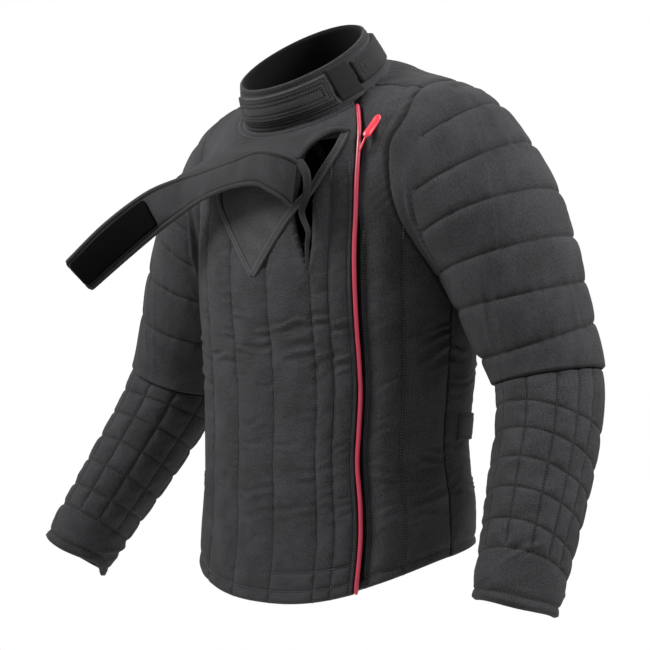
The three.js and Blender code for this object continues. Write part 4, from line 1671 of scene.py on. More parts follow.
@dataclass
class Sleeve:
    """A sleeve: an upper part quilted in rings, and a forearm quilted in a grid down to the cuff.

    Attributes:
        lobes: Longer stretches of the cuff, as angle, half width in degrees and extra length.
        turn: Angle at which the forearm's rings lie lowest.
        gather: How much closer the cells lie near a sewn line.
        buried: How deep the upper part runs into the body.
    """

    side: Side
    lobes: tuple[Triple, ...]
    turn: float
    upper: Quilting
    lower: Quilting
    step: float = 2.6 * MM
    gather: float = 0.3
    buried: float = 14 * MM
    ring_drop: float = 9 * MM
    puff: float = 8 * MM
    surface_end: float = 4
    surface_sink: float = 2 * MM

    @property
    def word(self) -> str:
        """The side's word in node names."""
        return self.side.name.lower()

    def grid(
        self, stops: list[float], angles: tuple[float, ...], radius: float
    ) -> tuple[Array, list[int], Array, list[int]]:
        """Sections and angles of a grid in about equal steps, through given lines.

        Args:
            stops: Section indexes to keep.
            angles: Angles to keep.
            radius: Typical radius of the part.

        Returns:
            Sections and where the stops are, angles and where theirs are.
        """
        fine = np.linspace(0, WRIST, 901)
        length = run_length(ARMS[self.side].frame(fine)[0][None], 1)[0]
        marks = np.interp(stops, fine, length)
        values, rows = divided(marks, self.step, self.gather)
        turns = [*angles, angles[0] + 360]
        gather = self.gather if len(angles) > 1 else 0
        degrees, columns = divided(turns, self.step, gather, math.radians(1) * radius)
        return np.interp(values, length, fine), rows, degrees[:-1], columns[:-1]

    def outward(self, base: Array) -> Array:
        """Normals of a grid round the arm, turned out of it."""
        normal = grid_normals(base, wrap=True)
        return normal * np.sign((normal * (base - base.mean(1, keepdims=True))).sum())

    def surface(self) -> Array:
        """Points of the upper part's form that lie outside the body, (n, 3)."""
        index = np.linspace(UPPER_START, self.surface_end, 90)
        points = ARMS[self.side].point(np.arange(0, 360, 3.0), index).reshape(-1, 3)
        return points[BODY.height_over(points) > -self.surface_sink]

    def build(self) -> Array:
        """Builds both parts of the sleeve with their stitches.

        Returns:
            Points of the outer face next to the body, (n, 3).
        """
        batch = StitchBatch(f"sleeve_{self.word}_stitches")
        armhole = self.build_upper(batch)
        self.build_lower(batch)
        batch.build()
        return armhole

    def build_upper(self, batch: StitchBatch) -> Array:
        """Builds the upper part, run into the body at the armhole and flared over the forearm.

        Args:
            batch: Batch that takes its stitches.

        Returns:
            Points of its outer face next to the body, (n, 3).
        """
        stops = [UPPER_START, *UPPER_LINES[self.side], ELBOW]
        index, rows, degrees, _ = self.grid(stops, (180,), UPPER_RADIUS)
        base = ARMS[self.side].point(degrees, index)
        normal = self.outward(base)
        along = run_length(base, 0)
        across = round_run(degrees, along, UPPER_RADIUS)
        gap, half = line_gaps(along, along[rows[1:-1], None])
        over, z = BODY.height_over(base), base[..., 2]
        gap = gap + FAR * smooth_step(z, *CAP_HEIGHTS) * (1 - smooth_step(over, *CAP_REACH))
        pleat = PLEATS.at(z, over) * window(over, *PLEAT_REACH) * window(z, *PLEAT_HEIGHTS)
        drape = DRAPE.at(along, across) * smooth_step(over, *DRAPE_REACH) * smooth_step(gap, *DRAPE_FADE)
        flare = FLARE * smooth_step(index, FLARE_START, ELBOW)[:, None]
        front = 1 - smooth_step(turn_between(degrees, FRONT_ANGLE) / FRONT_SPREAD, 0, 1)[None]
        puff = self.puff * window(index, *PUFF_SECTIONS)[:, None] * front
        join = armhole_lift(over, z) * (1 - TOP_EASE * smooth_step(z, *TOP_HEIGHTS))
        slack = UPPER_SLACK + (1 - UPPER_SLACK) * window(index, *ELBOW_SECTIONS)[:, None]
        slack = slack + ARMHOLE_SLACK * (1 - smooth_step(over, *ARMHOLE_SLACK_REACH))
        sheet = QuiltedSheet(
            f"sleeve_upper_{self.word}_quilted", base, normal, along, across, gap, half,
            rim(along[-1:] - along, END_ROUND, TUCK_LEAST), join + pleat + drape + flare + puff,
            np.clip(slack, 0, 1), self.upper, round_cloth(across, along, UPPER_RADIUS),
            cell_corners(closed(over > -self.buried)).any(0),
        )
        outer = sheet.build((f"sleeve_head_{self.word}", f"sleeve_upper_{self.word}"), 0.6)
        for row in rows[1:-1]:
            sewn = (gap[row] < 1 * MM) & (over[row] > SEWN_REACH)
            batch.add_ring(outer[row], normal[row], sewn)
        return outer[np.abs(over) < self.buried]

    def build_lower(self, batch: StitchBatch) -> None:
        """Builds the forearm part, tucked under the upper part, down to the cuff.

        Args:
            batch: Batch that takes its stitches.
        """
        stops = [FOREARM_START, *FOREARM_LINES, CUFF_HEM, WRIST]
        index, rows, degrees, columns = self.grid(stops, FOREARM_ANGLES, FOREARM_RADIUS)
        lean = window(index, *LEAN_SECTIONS)[:, None]
        slide = self.ring_drop * np.cos(np.radians(degrees - self.turn))[None] * lean
        for angle, spread, extra in self.lobes:
            lobe = 1 - smooth_step(turn_between(degrees, angle) / spread, 0, 1)
            slide = slide + extra * lobe[None] * smooth_step(index, *LOBE_SECTIONS)[:, None]
        base = ARMS[self.side].point(degrees, index, slide)
        normal = self.outward(base)
        along = run_length(base, 0)
        across = round_run(degrees, along, FOREARM_RADIUS)
        gap, half = line_gaps(along, along[rows[1:-1], None])
        turn = turn_between(degrees[:, None], degrees[columns][None]).min(1)
        size = ARMS[self.side].frame(index)[4][:, :2].mean(1)[:, None]
        below = smooth_step(index, *UPRIGHT_END)[:, None]
        gap = np.minimum(gap, np.radians(turn)[None] * size + FAR * below)
        tuck = TUCK * (1 - smooth_step(index, ELBOW, TUCK_END))[:, None]
        wrinkle = CUFF_WRINKLES.at(across, along) * window(index, *CUFF_SECTIONS)[:, None]
        fold = FOREARM_FOLDS.at(across, along) * smooth_step(gap, *FOREARM_FADE)
        full = np.minimum(rim(along[-1:] - along, END_ROUND, CUFF_LEAST), rim(along, END_ROUND, TUCK_LEAST))
        slack = FOREARM_SLACK + (1 - FOREARM_SLACK) * window(index, *CUFF_SLACK_SECTIONS)[:, None]
        sheet = QuiltedSheet(
            f"sleeve_lower_{self.word}_quilted", base, normal, across, along, gap, half, full,
            wrinkle + fold - tuck, slack + 0 * across, self.lower,
            round_cloth(across, along, FOREARM_RADIUS),
        )
        outer = sheet.build((f"sleeve_lower_{self.word}",), 0.5)
        for row in rows[1:-1]:
            batch.add_ring(outer[row], normal[row])
        for column in columns:
            batch.add(outer[:, column], normal[:, column], index < UPRIGHT_STITCH_END)


# Collar


# Rings of the collar: its foot on the body, its sewn lines and its rim
COLLAR_FOOT = -0.35
COLLAR_LINES = (0.12, 0.3, 1.72, 1.86)
COLLAR_RIM = 2
COLLAR_RADIUS = 92 * MM


@dataclass(frozen=True)
class CollarTrim:
    """A flat piece that lies on the collar, between two angles and two rings, with any sewn borders."""

    node: str
    reach: Pair
    rise: Pair
    thick: float
    finish: Finish
    slot: Slot
    borders: tuple[float, ...] = ()


SEWN_BORDERS = (3 * MM, 7 * MM, 12 * MM)
COLLAR_TRIMS = (
    # The front tab takes the lighter copy of the canvas, as painted light
    CollarTrim("collar_front_tab", (-30, 61), (-0.22, 1.6), TRIM, PAINTED_LIGHT_CLOTH, Slot.CLOTH, SEWN_BORDERS),
    CollarTrim("collar_back_strap", (85, 148), (0.0, 1.5), TRIM, PAINTED_SHADE_CLOTH, Slot.CLOTH, SEWN_BORDERS),
    CollarTrim("collar_side_patch", (63, 83), (-0.2, 1.75), PATCH, LOOP, Slot.HOOK_AND_LOOP),
    CollarTrim("collar_back_patch", (150, 166), (0.1, 1.5), PATCH, LOOP, Slot.HOOK_AND_LOOP),
)


@dataclass
class StandCollar:
    """The stand collar with its front tab, loop patch, back strap and back patch.

    The seats are the rings of the body under its outer and inner face.
    """

    quilting: Quilting
    columns: int = 240
    step: float = 1.2 * MM
    trim_step: float = 1.5 * MM
    ring_height: float = 20 * MM
    channel: float = 18 * MM
    edge: float = 4 * MM
    edge_least: float = 0.15
    seat_outer: float = 7.66
    seat_inner: float = 7.97
    sink: float = 0.9 * MM
    groove: float = 1.0 * MM
    groove_width: float = 1.2 * MM
    trim_edge: float = 2 * MM
    trim_least: float = 0.25
    trim_sink: float = 1.5 * MM
    uneven: Unevenness = Unevenness(31, 30 * MM, 14 * MM, 0.5 * MM)

    def face(self, degrees: Array, rows: Array, seat: float, offset: Array) -> Array:
        """One face of the collar: it rises from the neck of the body to the rim.

        Below the first ring a point lies straight between the body's neck and that ring.

        Args:
            degrees: Angles of the columns.
            rows: Ring indexes, negative below the first ring.
            seat: Ring index on the body at the foot.
            offset: Move out from the collar's form, (rows, columns).

        Returns:
            Points, (rows, columns, 3).
        """
        upper = COLLAR.point(degrees[None], np.maximum(rows, 0)[:, None], offset)
        foot = BODY.point(degrees, np.full(len(degrees), seat), -self.sink)[None]
        share = np.clip(rows / COLLAR_FOOT, 0, 1)[:, None, None]
        return upper * (1 - share) + foot * share

    def build(self) -> None:
        """Builds the collar and everything sewn on it."""
        degrees = np.linspace(-180, 180, self.columns, endpoint=False)
        stops = [COLLAR_FOOT, *COLLAR_LINES, COLLAR_RIM]
        rows, lines = divided(stops, self.step, scale=self.ring_height)
        flat = np.zeros((len(rows), len(degrees)))
        base = self.face(degrees, rows, self.seat_outer, flat)
        along = run_length(base, 0)
        across = round_run(degrees, along, COLLAR_RADIUS)
        gap = np.min([np.abs(along - along[line]) for line in lines[1:-1]], axis=0)
        height = self.quilting.height(gap, np.full_like(gap, self.channel), along, across)
        full = rim(along[-1:] - along, self.edge, self.edge_least)
        outer = self.face(degrees, rows, self.seat_outer, -PAD / 2 + full * (height + PAD / 2))
        inner = self.face(degrees, rows, self.seat_inner, -PAD / 2 - full * PAD / 2)
        draft = shell(outer, inner, round_cloth(across, along, COLLAR_RADIUS), gap, wrap=True)
        draft.dressed("collar_quilted", [BODY_CLOTH, LINING], Slot.CLOTH, ("collar",), 0.7)
        batch = StitchBatch("collar_stitches")
        normal = COLLAR.normal(degrees[None], np.maximum(rows, 0)[:, None])
        for line in lines[1:-1]:
            batch.add_ring(outer[line], normal[line])
        for trim in COLLAR_TRIMS:
            self.build_trim(trim, batch)
        batch.build()

    def build_trim(self, trim: CollarTrim, batch: StitchBatch) -> None:
        """Builds a flat piece on the collar, with rounded edges and its rows of stitches.

        Args:
            trim: The piece.
            batch: Batch that takes its stitches.
        """
        turn, climb = trim.reach[1] - trim.reach[0], trim.rise[1] - trim.rise[0]
        wide, tall = math.radians(turn) * COLLAR_RADIUS, climb * self.ring_height
        stops = sorted({0.0, wide, *trim.borders, *(wide - border for border in trim.borders)})
        x, columns = divided(stops, self.trim_step)
        stops = sorted({0.0, tall, *trim.borders, *(tall - border for border in trim.borders)})
        y, rows = divided(stops, self.step)
        degrees = trim.reach[0] + turn * x / wide
        rings = trim.rise[0] + climb * y / tall
        across, along = np.meshgrid(x, y)
        edge = np.minimum(np.minimum(across, wide - across), np.minimum(along, tall - along))
        gap = np.min([edge + FAR, *(np.abs(edge - border) for border in trim.borders)], axis=0)
        top = 0.5 * SEAT + trim.thick * rim(edge, min(self.trim_edge, trim.thick), self.trim_least)
        if trim.borders:
            soft = self.uneven.at(across, along) * (edge > 0)
            top = top - self.groove * np.exp(-gap / self.groove_width) + soft
        outer = self.face(degrees, rings, self.seat_outer, top)
        inner = self.face(degrees, rings, self.seat_outer, np.full_like(top, -self.trim_sink))
        draft = shell(outer, inner, np.stack([across, along], axis=-1), gap)
        draft.dressed(trim.node + "_sewn", [trim.finish] * 2, trim.slot, (trim.node,))
        normal = COLLAR.normal(degrees[None], np.maximum(rings, 0)[:, None])
        for k in range(1, len(trim.borders) + 1):
            left, right, low, high = columns[k], columns[-1 - k], rows[k], rows[-1 - k]
            for row in (low, high):
                batch.add(outer[row, left : right + 1], normal[row, left : right + 1])
            for column in (left, right):
                batch.add(outer[low : high + 1, column], normal[low : high + 1, column])


# Throat


@dataclass(frozen=True)
class StrapForm:
    """Band between an upper and a lower edge, from the fold to the free end.

    A point lies at a share of the way from the upper to the lower edge. The end's corners are round:
    near the end the band narrows as a quarter circle does.
    """

    rows: Table
    thick: float = 8 * MM
    edge: float = 3 * MM

    def place(self, index: Array, share: Array) -> tuple[Array, Array]:
        """Points of the band and the directions out of its shown face.

        Args:
            index: Fractional row numbers, (rows,).
            share: Shares across, (rows or 1, columns).

        Returns:
            Points and normals, (rows, columns, 3).
        """
        edges = spline(np.array(self.rows, float) * MM, index)
        upper, lower = edges[:, None, :3], edges[:, None, 3:]
        points = upper + (lower - upper) * share[..., None]
        return points, -grid_normals(points)

    def half(self, share: Array) -> Array:
        """Half the strap's thickness at shares across, fuller in the middle."""
        return (self.edge + (self.thick - self.edge) * np.sin(math.pi * np.clip(share, 0, 1))) / 2

    def narrowed(self, share: Array, end: Array, radius: float, width: float) -> Array:
        """Shares across that round off corners of a radius, by distance from the end."""
        near = np.clip(end / radius, 0, 1)[:, None]
        factor = 1 - radius * (1 - np.sqrt(1 - (1 - near) ** 2)) / (width / 2)
        return 0.5 + (share[None] - 0.5) * factor


# Upper and lower edge of the strap in X, Y and Z, from the fold to the free end, in millimetres
STRAP = StrapForm(
    (
        (87, -115, -104, 82, -122, -164),
        (74, -124, -96, 72, -130, -152),
        (50, -127, -90, 52, -135, -141),
        (20, -122, -88, 32, -136, -134),
        (-30, -116, -97, -12, -136, -136),
        (-85, -114, -107, -64, -136, -148),
        (-138, -122, -117, -112, -126, -163),
        (-186, -132, -133, -157, -122, -181),
        (-246, -150, -171, -216, -130, -217),
        (-299, -173, -221, -271, -149, -260),
    )
)
# Lines of the neckline bands in X and Z, in millimetres
NECKLINE_LEFT = ((-82, -128), (-79, -149), (-44, -196), (-8, -243))
NECKLINE_RIGHT = ((-8, -242), (52, -169), (82, -141), (97, -118), (112, -91), (117, -70))
# Flap: its seam on the body in X and Z, then its folded edge in X, Y and Z, in millimetres
FLAP_ROWS = (
    (120, -67, 119, -64, -69),
    (108, -63, 108, -75, -68),
    (98, -62, 98, -90, -76),
    (87, -63, 91, -103, -87),
    (76, -65, 88, -110, -97),
    (64, -67, 84, -117, -103),
    (44, -71, 70, -124, -97),
    (14, -75, 46, -126, -92),
    (-36, -76, 10, -120, -91),
    (-85, -82, -40, -114, -101),
    (-125, -88, -90, -114, -110),
    (-160, -96, -138, -120, -118),
)
# Folded strip that hangs from the strap's root to the bib, in millimetres
FOLD = (
    (87, -115, -104),
    (98, -112, -122),
    (94, -108, -147),
    (82, -104, -167),
    (91, -102, -191),
    (86, -99, -207),
    (82, -95, -237),
)


@dataclass
class ThroatFlap:
    """The V-shaped bib, its bound neckline, and the opened flap and strap with a hook patch."""

    hook: Pair = (7.0, 8.96)
    hook_edge: float = 0.15
    hook_width: float = 34 * MM
    hook_round: float = 1.5 * MM
    corner: float = 5 * MM
    path_step: float = 2 * MM
    bib_uneven: Unevenness = Unevenness(41, 35 * MM, 50 * MM, 0.5 * MM)
    bib_lift: float = 0.8 * MM
    bib_thick: float = 1.4 * MM
    bib_round: float = 6 * MM
    bib_under: float = 3 * MM
    band_square: float = 0.6
    band_border: float = 2 * MM
    flap_thick: float = 5 * MM
    flap_bulge: float = 3 * MM
    flap_round: float = 4 * MM
    flap_sink: float = 1.5 * MM
    flap_uneven: Unevenness = Unevenness(44, 40 * MM, 26 * MM, 1.6 * MM)
    fold_out: Triple = (0.5, -0.85, 0.1)
    fold_size: Pair = (12 * MM, 5 * MM)
    fold_end: float = 0.35
    strap_width: float = 46 * MM
    strap_round: float = 3 * MM
    strap_uneven: Unevenness = Unevenness(52, 22 * MM, 60 * MM, 1.7 * MM)
    strap_slant: float = 0.25
    strap_flat: Pair = (4 * MM, 16 * MM)
    bound: Triple = (3 * MM, 1.8 * MM, 0.9 * MM)
    groove: Triple = (6.5 * MM, 1.0 * MM, 1.1 * MM)

    def build(self) -> None:
        """Builds the bib, the neckline bands, the flap, the strap, the fold and the patch."""
        batch = StitchBatch("throat_stitches", finish=LIGHT_THREAD)
        self.build_bib()
        self.build_band("left", NECKLINE_LEFT, 9 * MM, 1.9 * MM, batch)
        self.build_band("right", NECKLINE_RIGHT, 11 * MM, 1.7 * MM, batch)
        self.build_flap()
        self.build_fold()
        self.build_strap()
        self.build_hook()
        batch.build()

    def build_bib(self) -> None:
        """Builds the smooth bib: straight between its left and right edge at each height."""
        table = np.array(BIB_ROWS, float) * MM
        rows = np.linspace(0, len(table) - 1, 73)
        share = np.linspace(0, 1, 61)
        z, left, right = (part[:, None] for part in np.moveaxis(spline(table, rows), -1, 0))
        x = left + (right - left) * share[None]
        degrees, index = BODY.above_front(x, z + 0 * x)
        base, normal = BODY.place(degrees, index), BODY.normal(degrees, index)
        across, along = run_length(base, 1), run_length(base, 0)
        edge = np.minimum(end_distance(across, 1), along)
        top = self.bib_lift + self.bib_thick * rim(edge, self.bib_round, 0)
        draft = wall(base, normal, top + self.bib_uneven.at(across, along), -self.bib_under)
        draft.dressed("throat_bib_padded", [PAINTED_LIGHT_CLOTH] * 2, Slot.CLOTH, ("throat_bib",), 0.3)

    def build_band(
        self,
        name: str,
        path: tuple[Pair, ...],
        width: float,
        height: float,
        batch: StitchBatch,
    ) -> None:
        """Builds a flat bound band along the neckline, with a row of stitches near each edge.

        Args:
            name: Word for its side.
            path: Line in X and Z, in millimetres.
            width: Width of the band.
            height: Half its thickness.
            batch: Batch that takes its stitches.
        """
        line = walked(path, self.path_step)
        degrees, index = BODY.above_front(line[:, 0], line[:, 1])
        normal = BODY.normal(degrees, index)
        middle = BODY.place(degrees, index) + normal * height
        profile = ellipse(width, 2, 20)
        profile[:, 1] = np.sign(profile[:, 1]) * np.abs(profile[:, 1]) ** self.band_square * height
        band = swept(middle, normal, profile, rounded_end(len(line), 3))
        band.dressed(f"neckline_band_{name}", [PAINTED_LIGHT_CLOTH], Slot.CLOTH)
        sideways = unit(np.cross(unit(np.gradient(middle, axis=0)), normal))
        for side in (-1, 1):
            aside = side * (width / 2 - self.band_border)
            batch.add(middle + sideways * aside + normal * height * 0.9, normal)

    def build_flap(self) -> None:
        """Bridges the neckline seam and the strap's upper edge with a rolled sheet of padded cloth."""
        table = np.array(FLAP_ROWS, float) * MM
        rows = spline(table, np.linspace(0, len(table) - 1, 131))
        degrees, index = BODY.above_front(rows[:, 0], rows[:, 1])
        seam = BODY.point(degrees, index, np.full(len(rows), -self.flap_sink))
        share = np.linspace(0, 1, 33)
        base = seam[:, None] + (rows[:, None, 2:] - seam[:, None]) * share[None, :, None]
        normal = grid_normals(base)
        normal = normal * np.sign(normal[..., 2:].sum())
        across, along = run_length(base, 1), run_length(base, 0)
        bulge = (self.flap_bulge + self.flap_uneven.at(across, along)) * np.sin(math.pi * share)[None]
        end = rim(end_distance(along, 0), self.flap_round, 0.2)
        half = self.flap_thick / 2 * np.minimum(end, rim(1 - share, 0.12, 0.5)[None])
        draft = wall(base, normal, bulge + half, bulge - half)
        draft.dressed("throat_flap_padded", [PAINTED_SHADE_CLOTH] * 2, Slot.CLOTH, (), 0.4)

    def build_fold(self) -> None:
        """Carries a flat oval down the folded edge at the strap's root, narrower at its end."""
        path = walked(FOLD, self.path_step)
        out = np.tile(unit(np.array(self.fold_out)), (len(path), 1))
        size = rounded_end(len(path), 3) * np.linspace(1, self.fold_end, len(path))
        fold = swept(path, out, ellipse(*self.fold_size, 16), size)
        fold.dressed("throat_fold", [PAINTED_SHADE_CLOTH], Slot.CLOTH)

    def build_strap(self) -> None:
        """Builds the padded strap, fuller in the middle, with a bound rim along its edges."""
        index = np.linspace(0, len(STRAP.rows) - 1, 241)
        share = np.linspace(0, 1, 45)
        base, _ = STRAP.place(index, share[None])
        end = run_length(base, 0).mean(1)
        narrowed = STRAP.narrowed(share, end[-1] - end, self.corner, self.strap_width)
        base, normal = STRAP.place(index, narrowed)
        across, along = run_length(base, 1), run_length(base, 0)
        side = end_distance(across, 1)
        edge = np.minimum(side, along[-1:] - along)
        half = STRAP.half(share)[None] * rim(edge, self.strap_round, 0.15)
        place, width, height = self.bound
        bound = height * np.exp(-(((side - place) / width) ** 2)) * rim(edge, self.strap_round, 0)
        place, width, depth = self.groove
        line = np.abs(side - place)
        folds = self.strap_uneven.at(along + self.strap_slant * across, across)
        folds = folds * smooth_step(side, *self.strap_flat)
        draft = wall(base, normal, half + bound - depth * np.exp(-line / width) + folds, -half, line)
        draft.dressed("throat_strap_padded", [PAINTED_SHADE_CLOTH] * 2, Slot.CLOTH, ("throat_strap",), 0.4)

    def build_hook(self) -> None:
        """Builds the hook patch on the strap's shown face, its corners round."""
        index = np.linspace(*self.hook, 61)
        share = np.linspace(self.hook_edge, 1 - self.hook_edge, 31)
        base, _ = STRAP.place(index, share[None])
        end = run_length(base, 0).mean(1)
        share = STRAP.narrowed(share, end_distance(end, 0), self.corner, self.hook_width)
        base, normal = STRAP.place(index, share)
        edge = np.minimum(end_distance(run_length(base, 1), 1), end_distance(run_length(base, 0), 0))
        half = STRAP.half(share)
        top = half + 1.5 * SEAT + PATCH * rim(edge, self.hook_round, 0.2)
        draft = wall(base, normal, top, half - 1 * MM)
        draft.dressed("strap_hook_patch_sewn", [PILE] * 2, Slot.HOOK_AND_LOOP, ("strap_hook_patch",))


# Front closure and waist tab


# Top ring of the piping and the tape, and the angle at which their steps are measured
PIPING_TOP = 7.5
FRONT_EDGE = 40.0


@dataclass
class FrontClosure:
    """The red piping along the lapping edge, the zip tape under it, and the zip puller."""

    radius: float = 2.8 * MM
    piping_step: float = 2.4 * MM
    piping_depth: float = 0.4 * PAD
    sway: float = 0.5 * MM
    tape_share: float = 0.255
    tape_step: float = 5 * MM
    tape_sink: float = 1.5 * MM
    tape_round: float = 1.5 * MM
    tip: Pair = (146, -56)
    root: Pair = (142, -75)
    slider: Pair = (138, -92)
    puller_heights: Triple = (0.2 * MM, 5.6 * MM, 6.4 * MM)
    grip_size: Pair = (10.5 * MM, 6.6 * MM)
    grip_end: float = 4.5 * MM
    grip_waist: float = 0.12
    grip_swell: float = 0.1
    cord_size: float = 2.6 * MM
    cord_bow: float = 1.5 * MM

    def build(self) -> None:
        """Builds the piping, the tape and the puller."""
        self.build_piping()
        self.build_tape()
        self.build_puller()

    def build_piping(self) -> None:
        """Carries a round profile along the lapping edge, level with the middle of the padding."""
        index = index_rows([0.0, PIPING_TOP], (FRONT_EDGE,), self.piping_step)
        edge = body_edge(index)
        normal = BODY.normal(edge, index)
        middle = BODY.point(edge, index, np.full(len(index), -self.piping_depth))
        sideways = unit(np.cross(np.gradient(middle, axis=0), normal))
        sway = SmoothNoise(61).at(np.arange(len(index)) / 16, np.zeros(len(index))) * self.sway
        middle = middle + sideways * (self.radius + 0.5 * SEAT + sway)[:, None]
        profile = ellipse(2 * self.radius, 2 * self.radius, 20)
        cord = swept(middle, normal, profile, rounded_end(len(index), 2))
        cord.dressed("edge_piping_satin", [PIPING], Slot.PIPING, ("edge_piping",))

    def build_tape(self) -> None:
        """Lays the zip tape on the left panel under the lap, its near-black partly the tape's own colour
        and partly painted shadow of the lap.
        """
        left = BodyPanel(Panel.FRONT_LEFT, (0, 1), (1, 2), 0)
        index = index_rows([HEM_TOP, PIPING_TOP], (FRONT_EDGE,), self.tape_step)
        degrees = left.angles(np.linspace(0, self.tape_share, 25), index)
        rings = np.broadcast_to(index[:, None], degrees.shape)
        base, normal = BODY.place(degrees, rings), BODY.normal(degrees, rings)
        sunk = left.sink(degrees, index)
        edge = end_distance(run_length(base, 1), 1)
        top = 1.5 * SEAT + PATCH * rim(edge, self.tape_round, 0.3) - sunk
        draft = wall(base, normal, top, -self.tape_sink - sunk)
        draft.dressed("zip_tape_woven", [ZIP_TAPE_AND_SHADOW] * 2, Slot.ZIP, ("zip_tape",))

    def build_puller(self) -> None:
        """Builds the rubber grip, waisted between two full ends, and the cord that carries it."""
        places = np.array([self.slider, self.root, self.tip], float) * MM
        degrees, index = BODY.above_front(places[:, 0], places[:, 1])
        slider, root, tip = BODY.point(degrees, index, np.array(self.puller_heights))
        normal = BODY.normal(degrees, index)[2]
        reach = unit(tip - root) * self.grip_end
        share = np.linspace(0, 1, 41)[:, None]
        grip = (root - reach) * (1 - share) + (tip + reach) * share
        waist = 1 - self.grip_waist * np.sin(math.pi * share[:, 0]) ** 2
        swell = rounded_end(len(grip), 8) * waist * (1 + self.grip_swell * share[:, 0])
        out = np.tile(normal, (len(grip), 1))
        made = swept(grip, out, ellipse(*self.grip_size, 20), swell)
        bow = normal * np.sin(math.pi * share) * self.cord_bow
        cord = slider * (1 - share) + (root + reach) * share + bow
        string = swept(cord, out, ellipse(self.cord_size, self.cord_size, 10), np.ones(len(cord)))
        made.joined(string).dressed("zip_puller_moulded", [RUBBER], Slot.RUBBER, ("zip_puller",))


@dataclass
class WaistTab:
    """The short adjuster tab on the left side of the back at the waist."""

    reach: Pair = (97, 133)
    rise: Pair = (2.1, 2.55)
    border: float = 4 * MM
    lift: float = 1 * MM
    thick: float = 3 * MM
    round: float = 2.5 * MM
    groove: float = 0.9 * MM
    groove_width: float = 1.5 * MM

    def build(self) -> None:
        """Builds the tab as a flat padded strip with a sewn border."""
        share, up = np.linspace(0, 1, 61), np.linspace(0, 1, 31)
        degrees = (self.reach[0] + (self.reach[1] - self.reach[0]) * share)[None] + 0 * up[:, None]
        rings = (self.rise[0] + (self.rise[1] - self.rise[0]) * up)[:, None] + 0 * share[None]
        base, normal = BODY.place(degrees, rings), BODY.normal(degrees, rings)
        edge = np.minimum(end_distance(run_length(base, 1), 1), end_distance(run_length(base, 0), 0))
        gap = np.abs(edge - self.border)
        groove = self.groove * np.exp(-gap / self.groove_width)
        draft = wall(
            base, normal, self.lift + self.thick * rim(edge, self.round, 0.2) - groove, -self.thick, gap
        )
        draft.dressed("waist_tab_sewn", [PAINTED_SHADE_CLOTH] * 2, Slot.CLOTH, ("waist_tab",))


# Studio


# Soft lights: name, place, length of a side, and power in watts
LAMPS = (
    ("key", (-0.85, -1.15, 0.8), 0.7, 78),
    ("side", (1.5, 0.5, 1.0), 0.8, 85),
    ("back", (0.0, 1.6, 1.8), 2.0, 30),
)


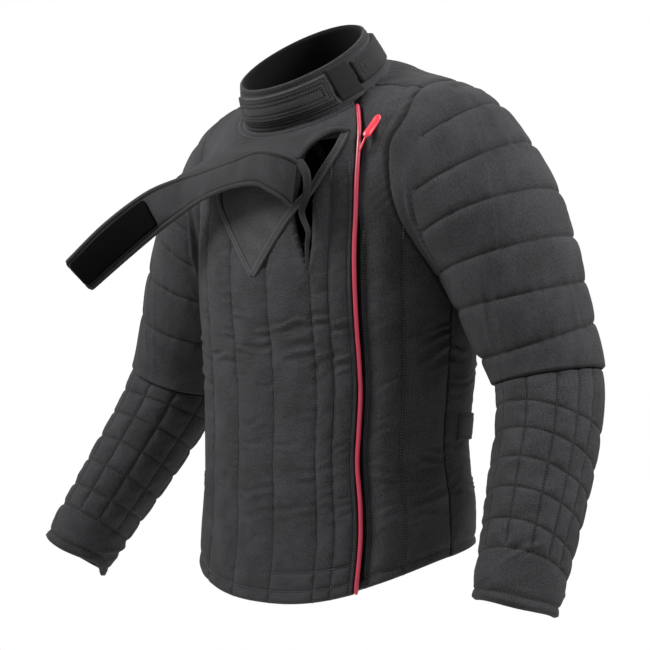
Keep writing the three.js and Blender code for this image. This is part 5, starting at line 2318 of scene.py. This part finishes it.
@dataclass
class Studio:
    """Pale floor, soft light and the camera at the photograph's angle."""

    target: Triple = (0.009, 0.009, -0.304)
    azimuth: float = 45
    distance: float = 2.6
    lens: float = 112.3
    sensor: float = 36
    floor_height: float = -1.42
    floor_radius: float = 3.6
    floor_thick: float = 20 * MM
    floor_sides: int = 64

    def build(self) -> None:
        """Builds the camera, the lights, the world and the floor."""
        scene = bpy.context.scene
        scene.view_settings.view_transform = "Standard"
        turn = math.radians(self.azimuth)
        camera = bpy.data.cameras.new("camera")
        camera.lens = self.lens
        camera.sensor_width = self.sensor
        eye = Vector(self.target) + self.distance * Vector((math.sin(turn), -math.cos(turn), 0))
        self.aim(bpy.data.objects.new("camera", camera), eye)
        scene.camera = bpy.data.objects["camera"]
        for lamp in LAMPS:
            self.light(*lamp)
        world = bpy.data.worlds.new("studio")
        world.use_nodes = True
        background = world.node_tree.nodes["Background"]
        background.inputs["Color"].default_value = (1, 1, 1, 1)
        background.inputs["Strength"].default_value = 1.0
        scene.world = world
        self.floor()

    def aim(self, thing: bpy.types.Object, place: Vector) -> None:
        """Puts a camera or light at a place and turns it to the middle of the jacket."""
        thing.location = place
        thing.rotation_euler = (Vector(self.target) - place).to_track_quat("-Z", "Y").to_euler()
        bpy.context.scene.collection.objects.link(thing)

    def light(self, name: str, place: Triple, size: float, power: float) -> None:
        """Adds a square soft light.

        Args:
            name: Its name.
            place: Where it stands.
            size: Length of its side.
            power: Power in watts.
        """
        lamp = bpy.data.lights.new(name, "AREA")
        lamp.size = size
        lamp.energy = power
        self.aim(bpy.data.objects.new(name, lamp), Vector(place))

    def floor(self) -> None:
        """Adds a pale round floor, its points on rings round the jacket."""
        circle = ellipse(2 * self.floor_radius, 2 * self.floor_radius, self.floor_sides)
        heights = (self.floor_height - self.floor_thick, self.floor_height)
        rings = np.stack([np.insert(circle, 2, height, axis=1) for height in heights])
        tube(rings, np.zeros((2, self.floor_sides + 1, 2))).piece("floor", [FLOOR])


# Whole jacket


# Shares of the width at which each panel is quilted
RIGHT_LINES = (0, 0.215, 0.44, 0.595, 0.715, 0.86, 0.92, 0.985, 1)
LEFT_LINES = (0, LAP_SHARE, 0.28, 0.58, 1)
BACK_LINES = tuple(np.linspace(0, 1, 7))
# Sewn lines across the right front: above the hem, and two at the foot of the collar
RIGHT_CROSS = ((0.5, 0.715, 0.985), (7.4, 0.2, 0.99), (7.6, 0.2, 0.99))


def main() -> None:
    """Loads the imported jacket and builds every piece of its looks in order."""
    logging.basicConfig(level=logging.INFO, format="%(name)s %(message)s")
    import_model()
    Studio().build()
    rings = Quilting(depth=3 * MM, reach=3.5 * MM, crown=1 * MM, seed=33)
    grid = Quilting(depth=2.3 * MM, reach=3.2 * MM, crown=0.8 * MM, seed=43)
    sleeves = [
        Sleeve(Side.LEFT, ((318, 110, 18 * MM), (138, 110, -36 * MM)), 45, rings, grid),
        Sleeve(Side.RIGHT, ((250, 90, 9 * MM), (140, 45, 9 * MM)), 135, rings, grid, ring_drop=-2 * MM),
    ]
    surface = np.concatenate([sleeve.surface() for sleeve in sleeves])
    armholes = np.concatenate([sleeve.build() for sleeve in sleeves])
    BodyPanel(Panel.FRONT_RIGHT, RIGHT_LINES, (5.7, 6.1), 3, RIGHT_CROSS).build(surface, armholes)
    BodyPanel(Panel.FRONT_LEFT, LEFT_LINES, (4.9, 5.3), 13, hem=0.06).build(surface, armholes)
    BodyPanel(Panel.BACK, BACK_LINES, (6.2, 6.6), 23, step=3 * MM).build(surface, armholes)
    StandCollar(Quilting(depth=1.6 * MM, reach=2 * MM, crown=0.3 * MM, pucker=0.3 * MM, seed=53)).build()
    ThroatFlap().build()
    FrontClosure().build()
    WaistTab().build()


if __name__ == "__main__":
    main()
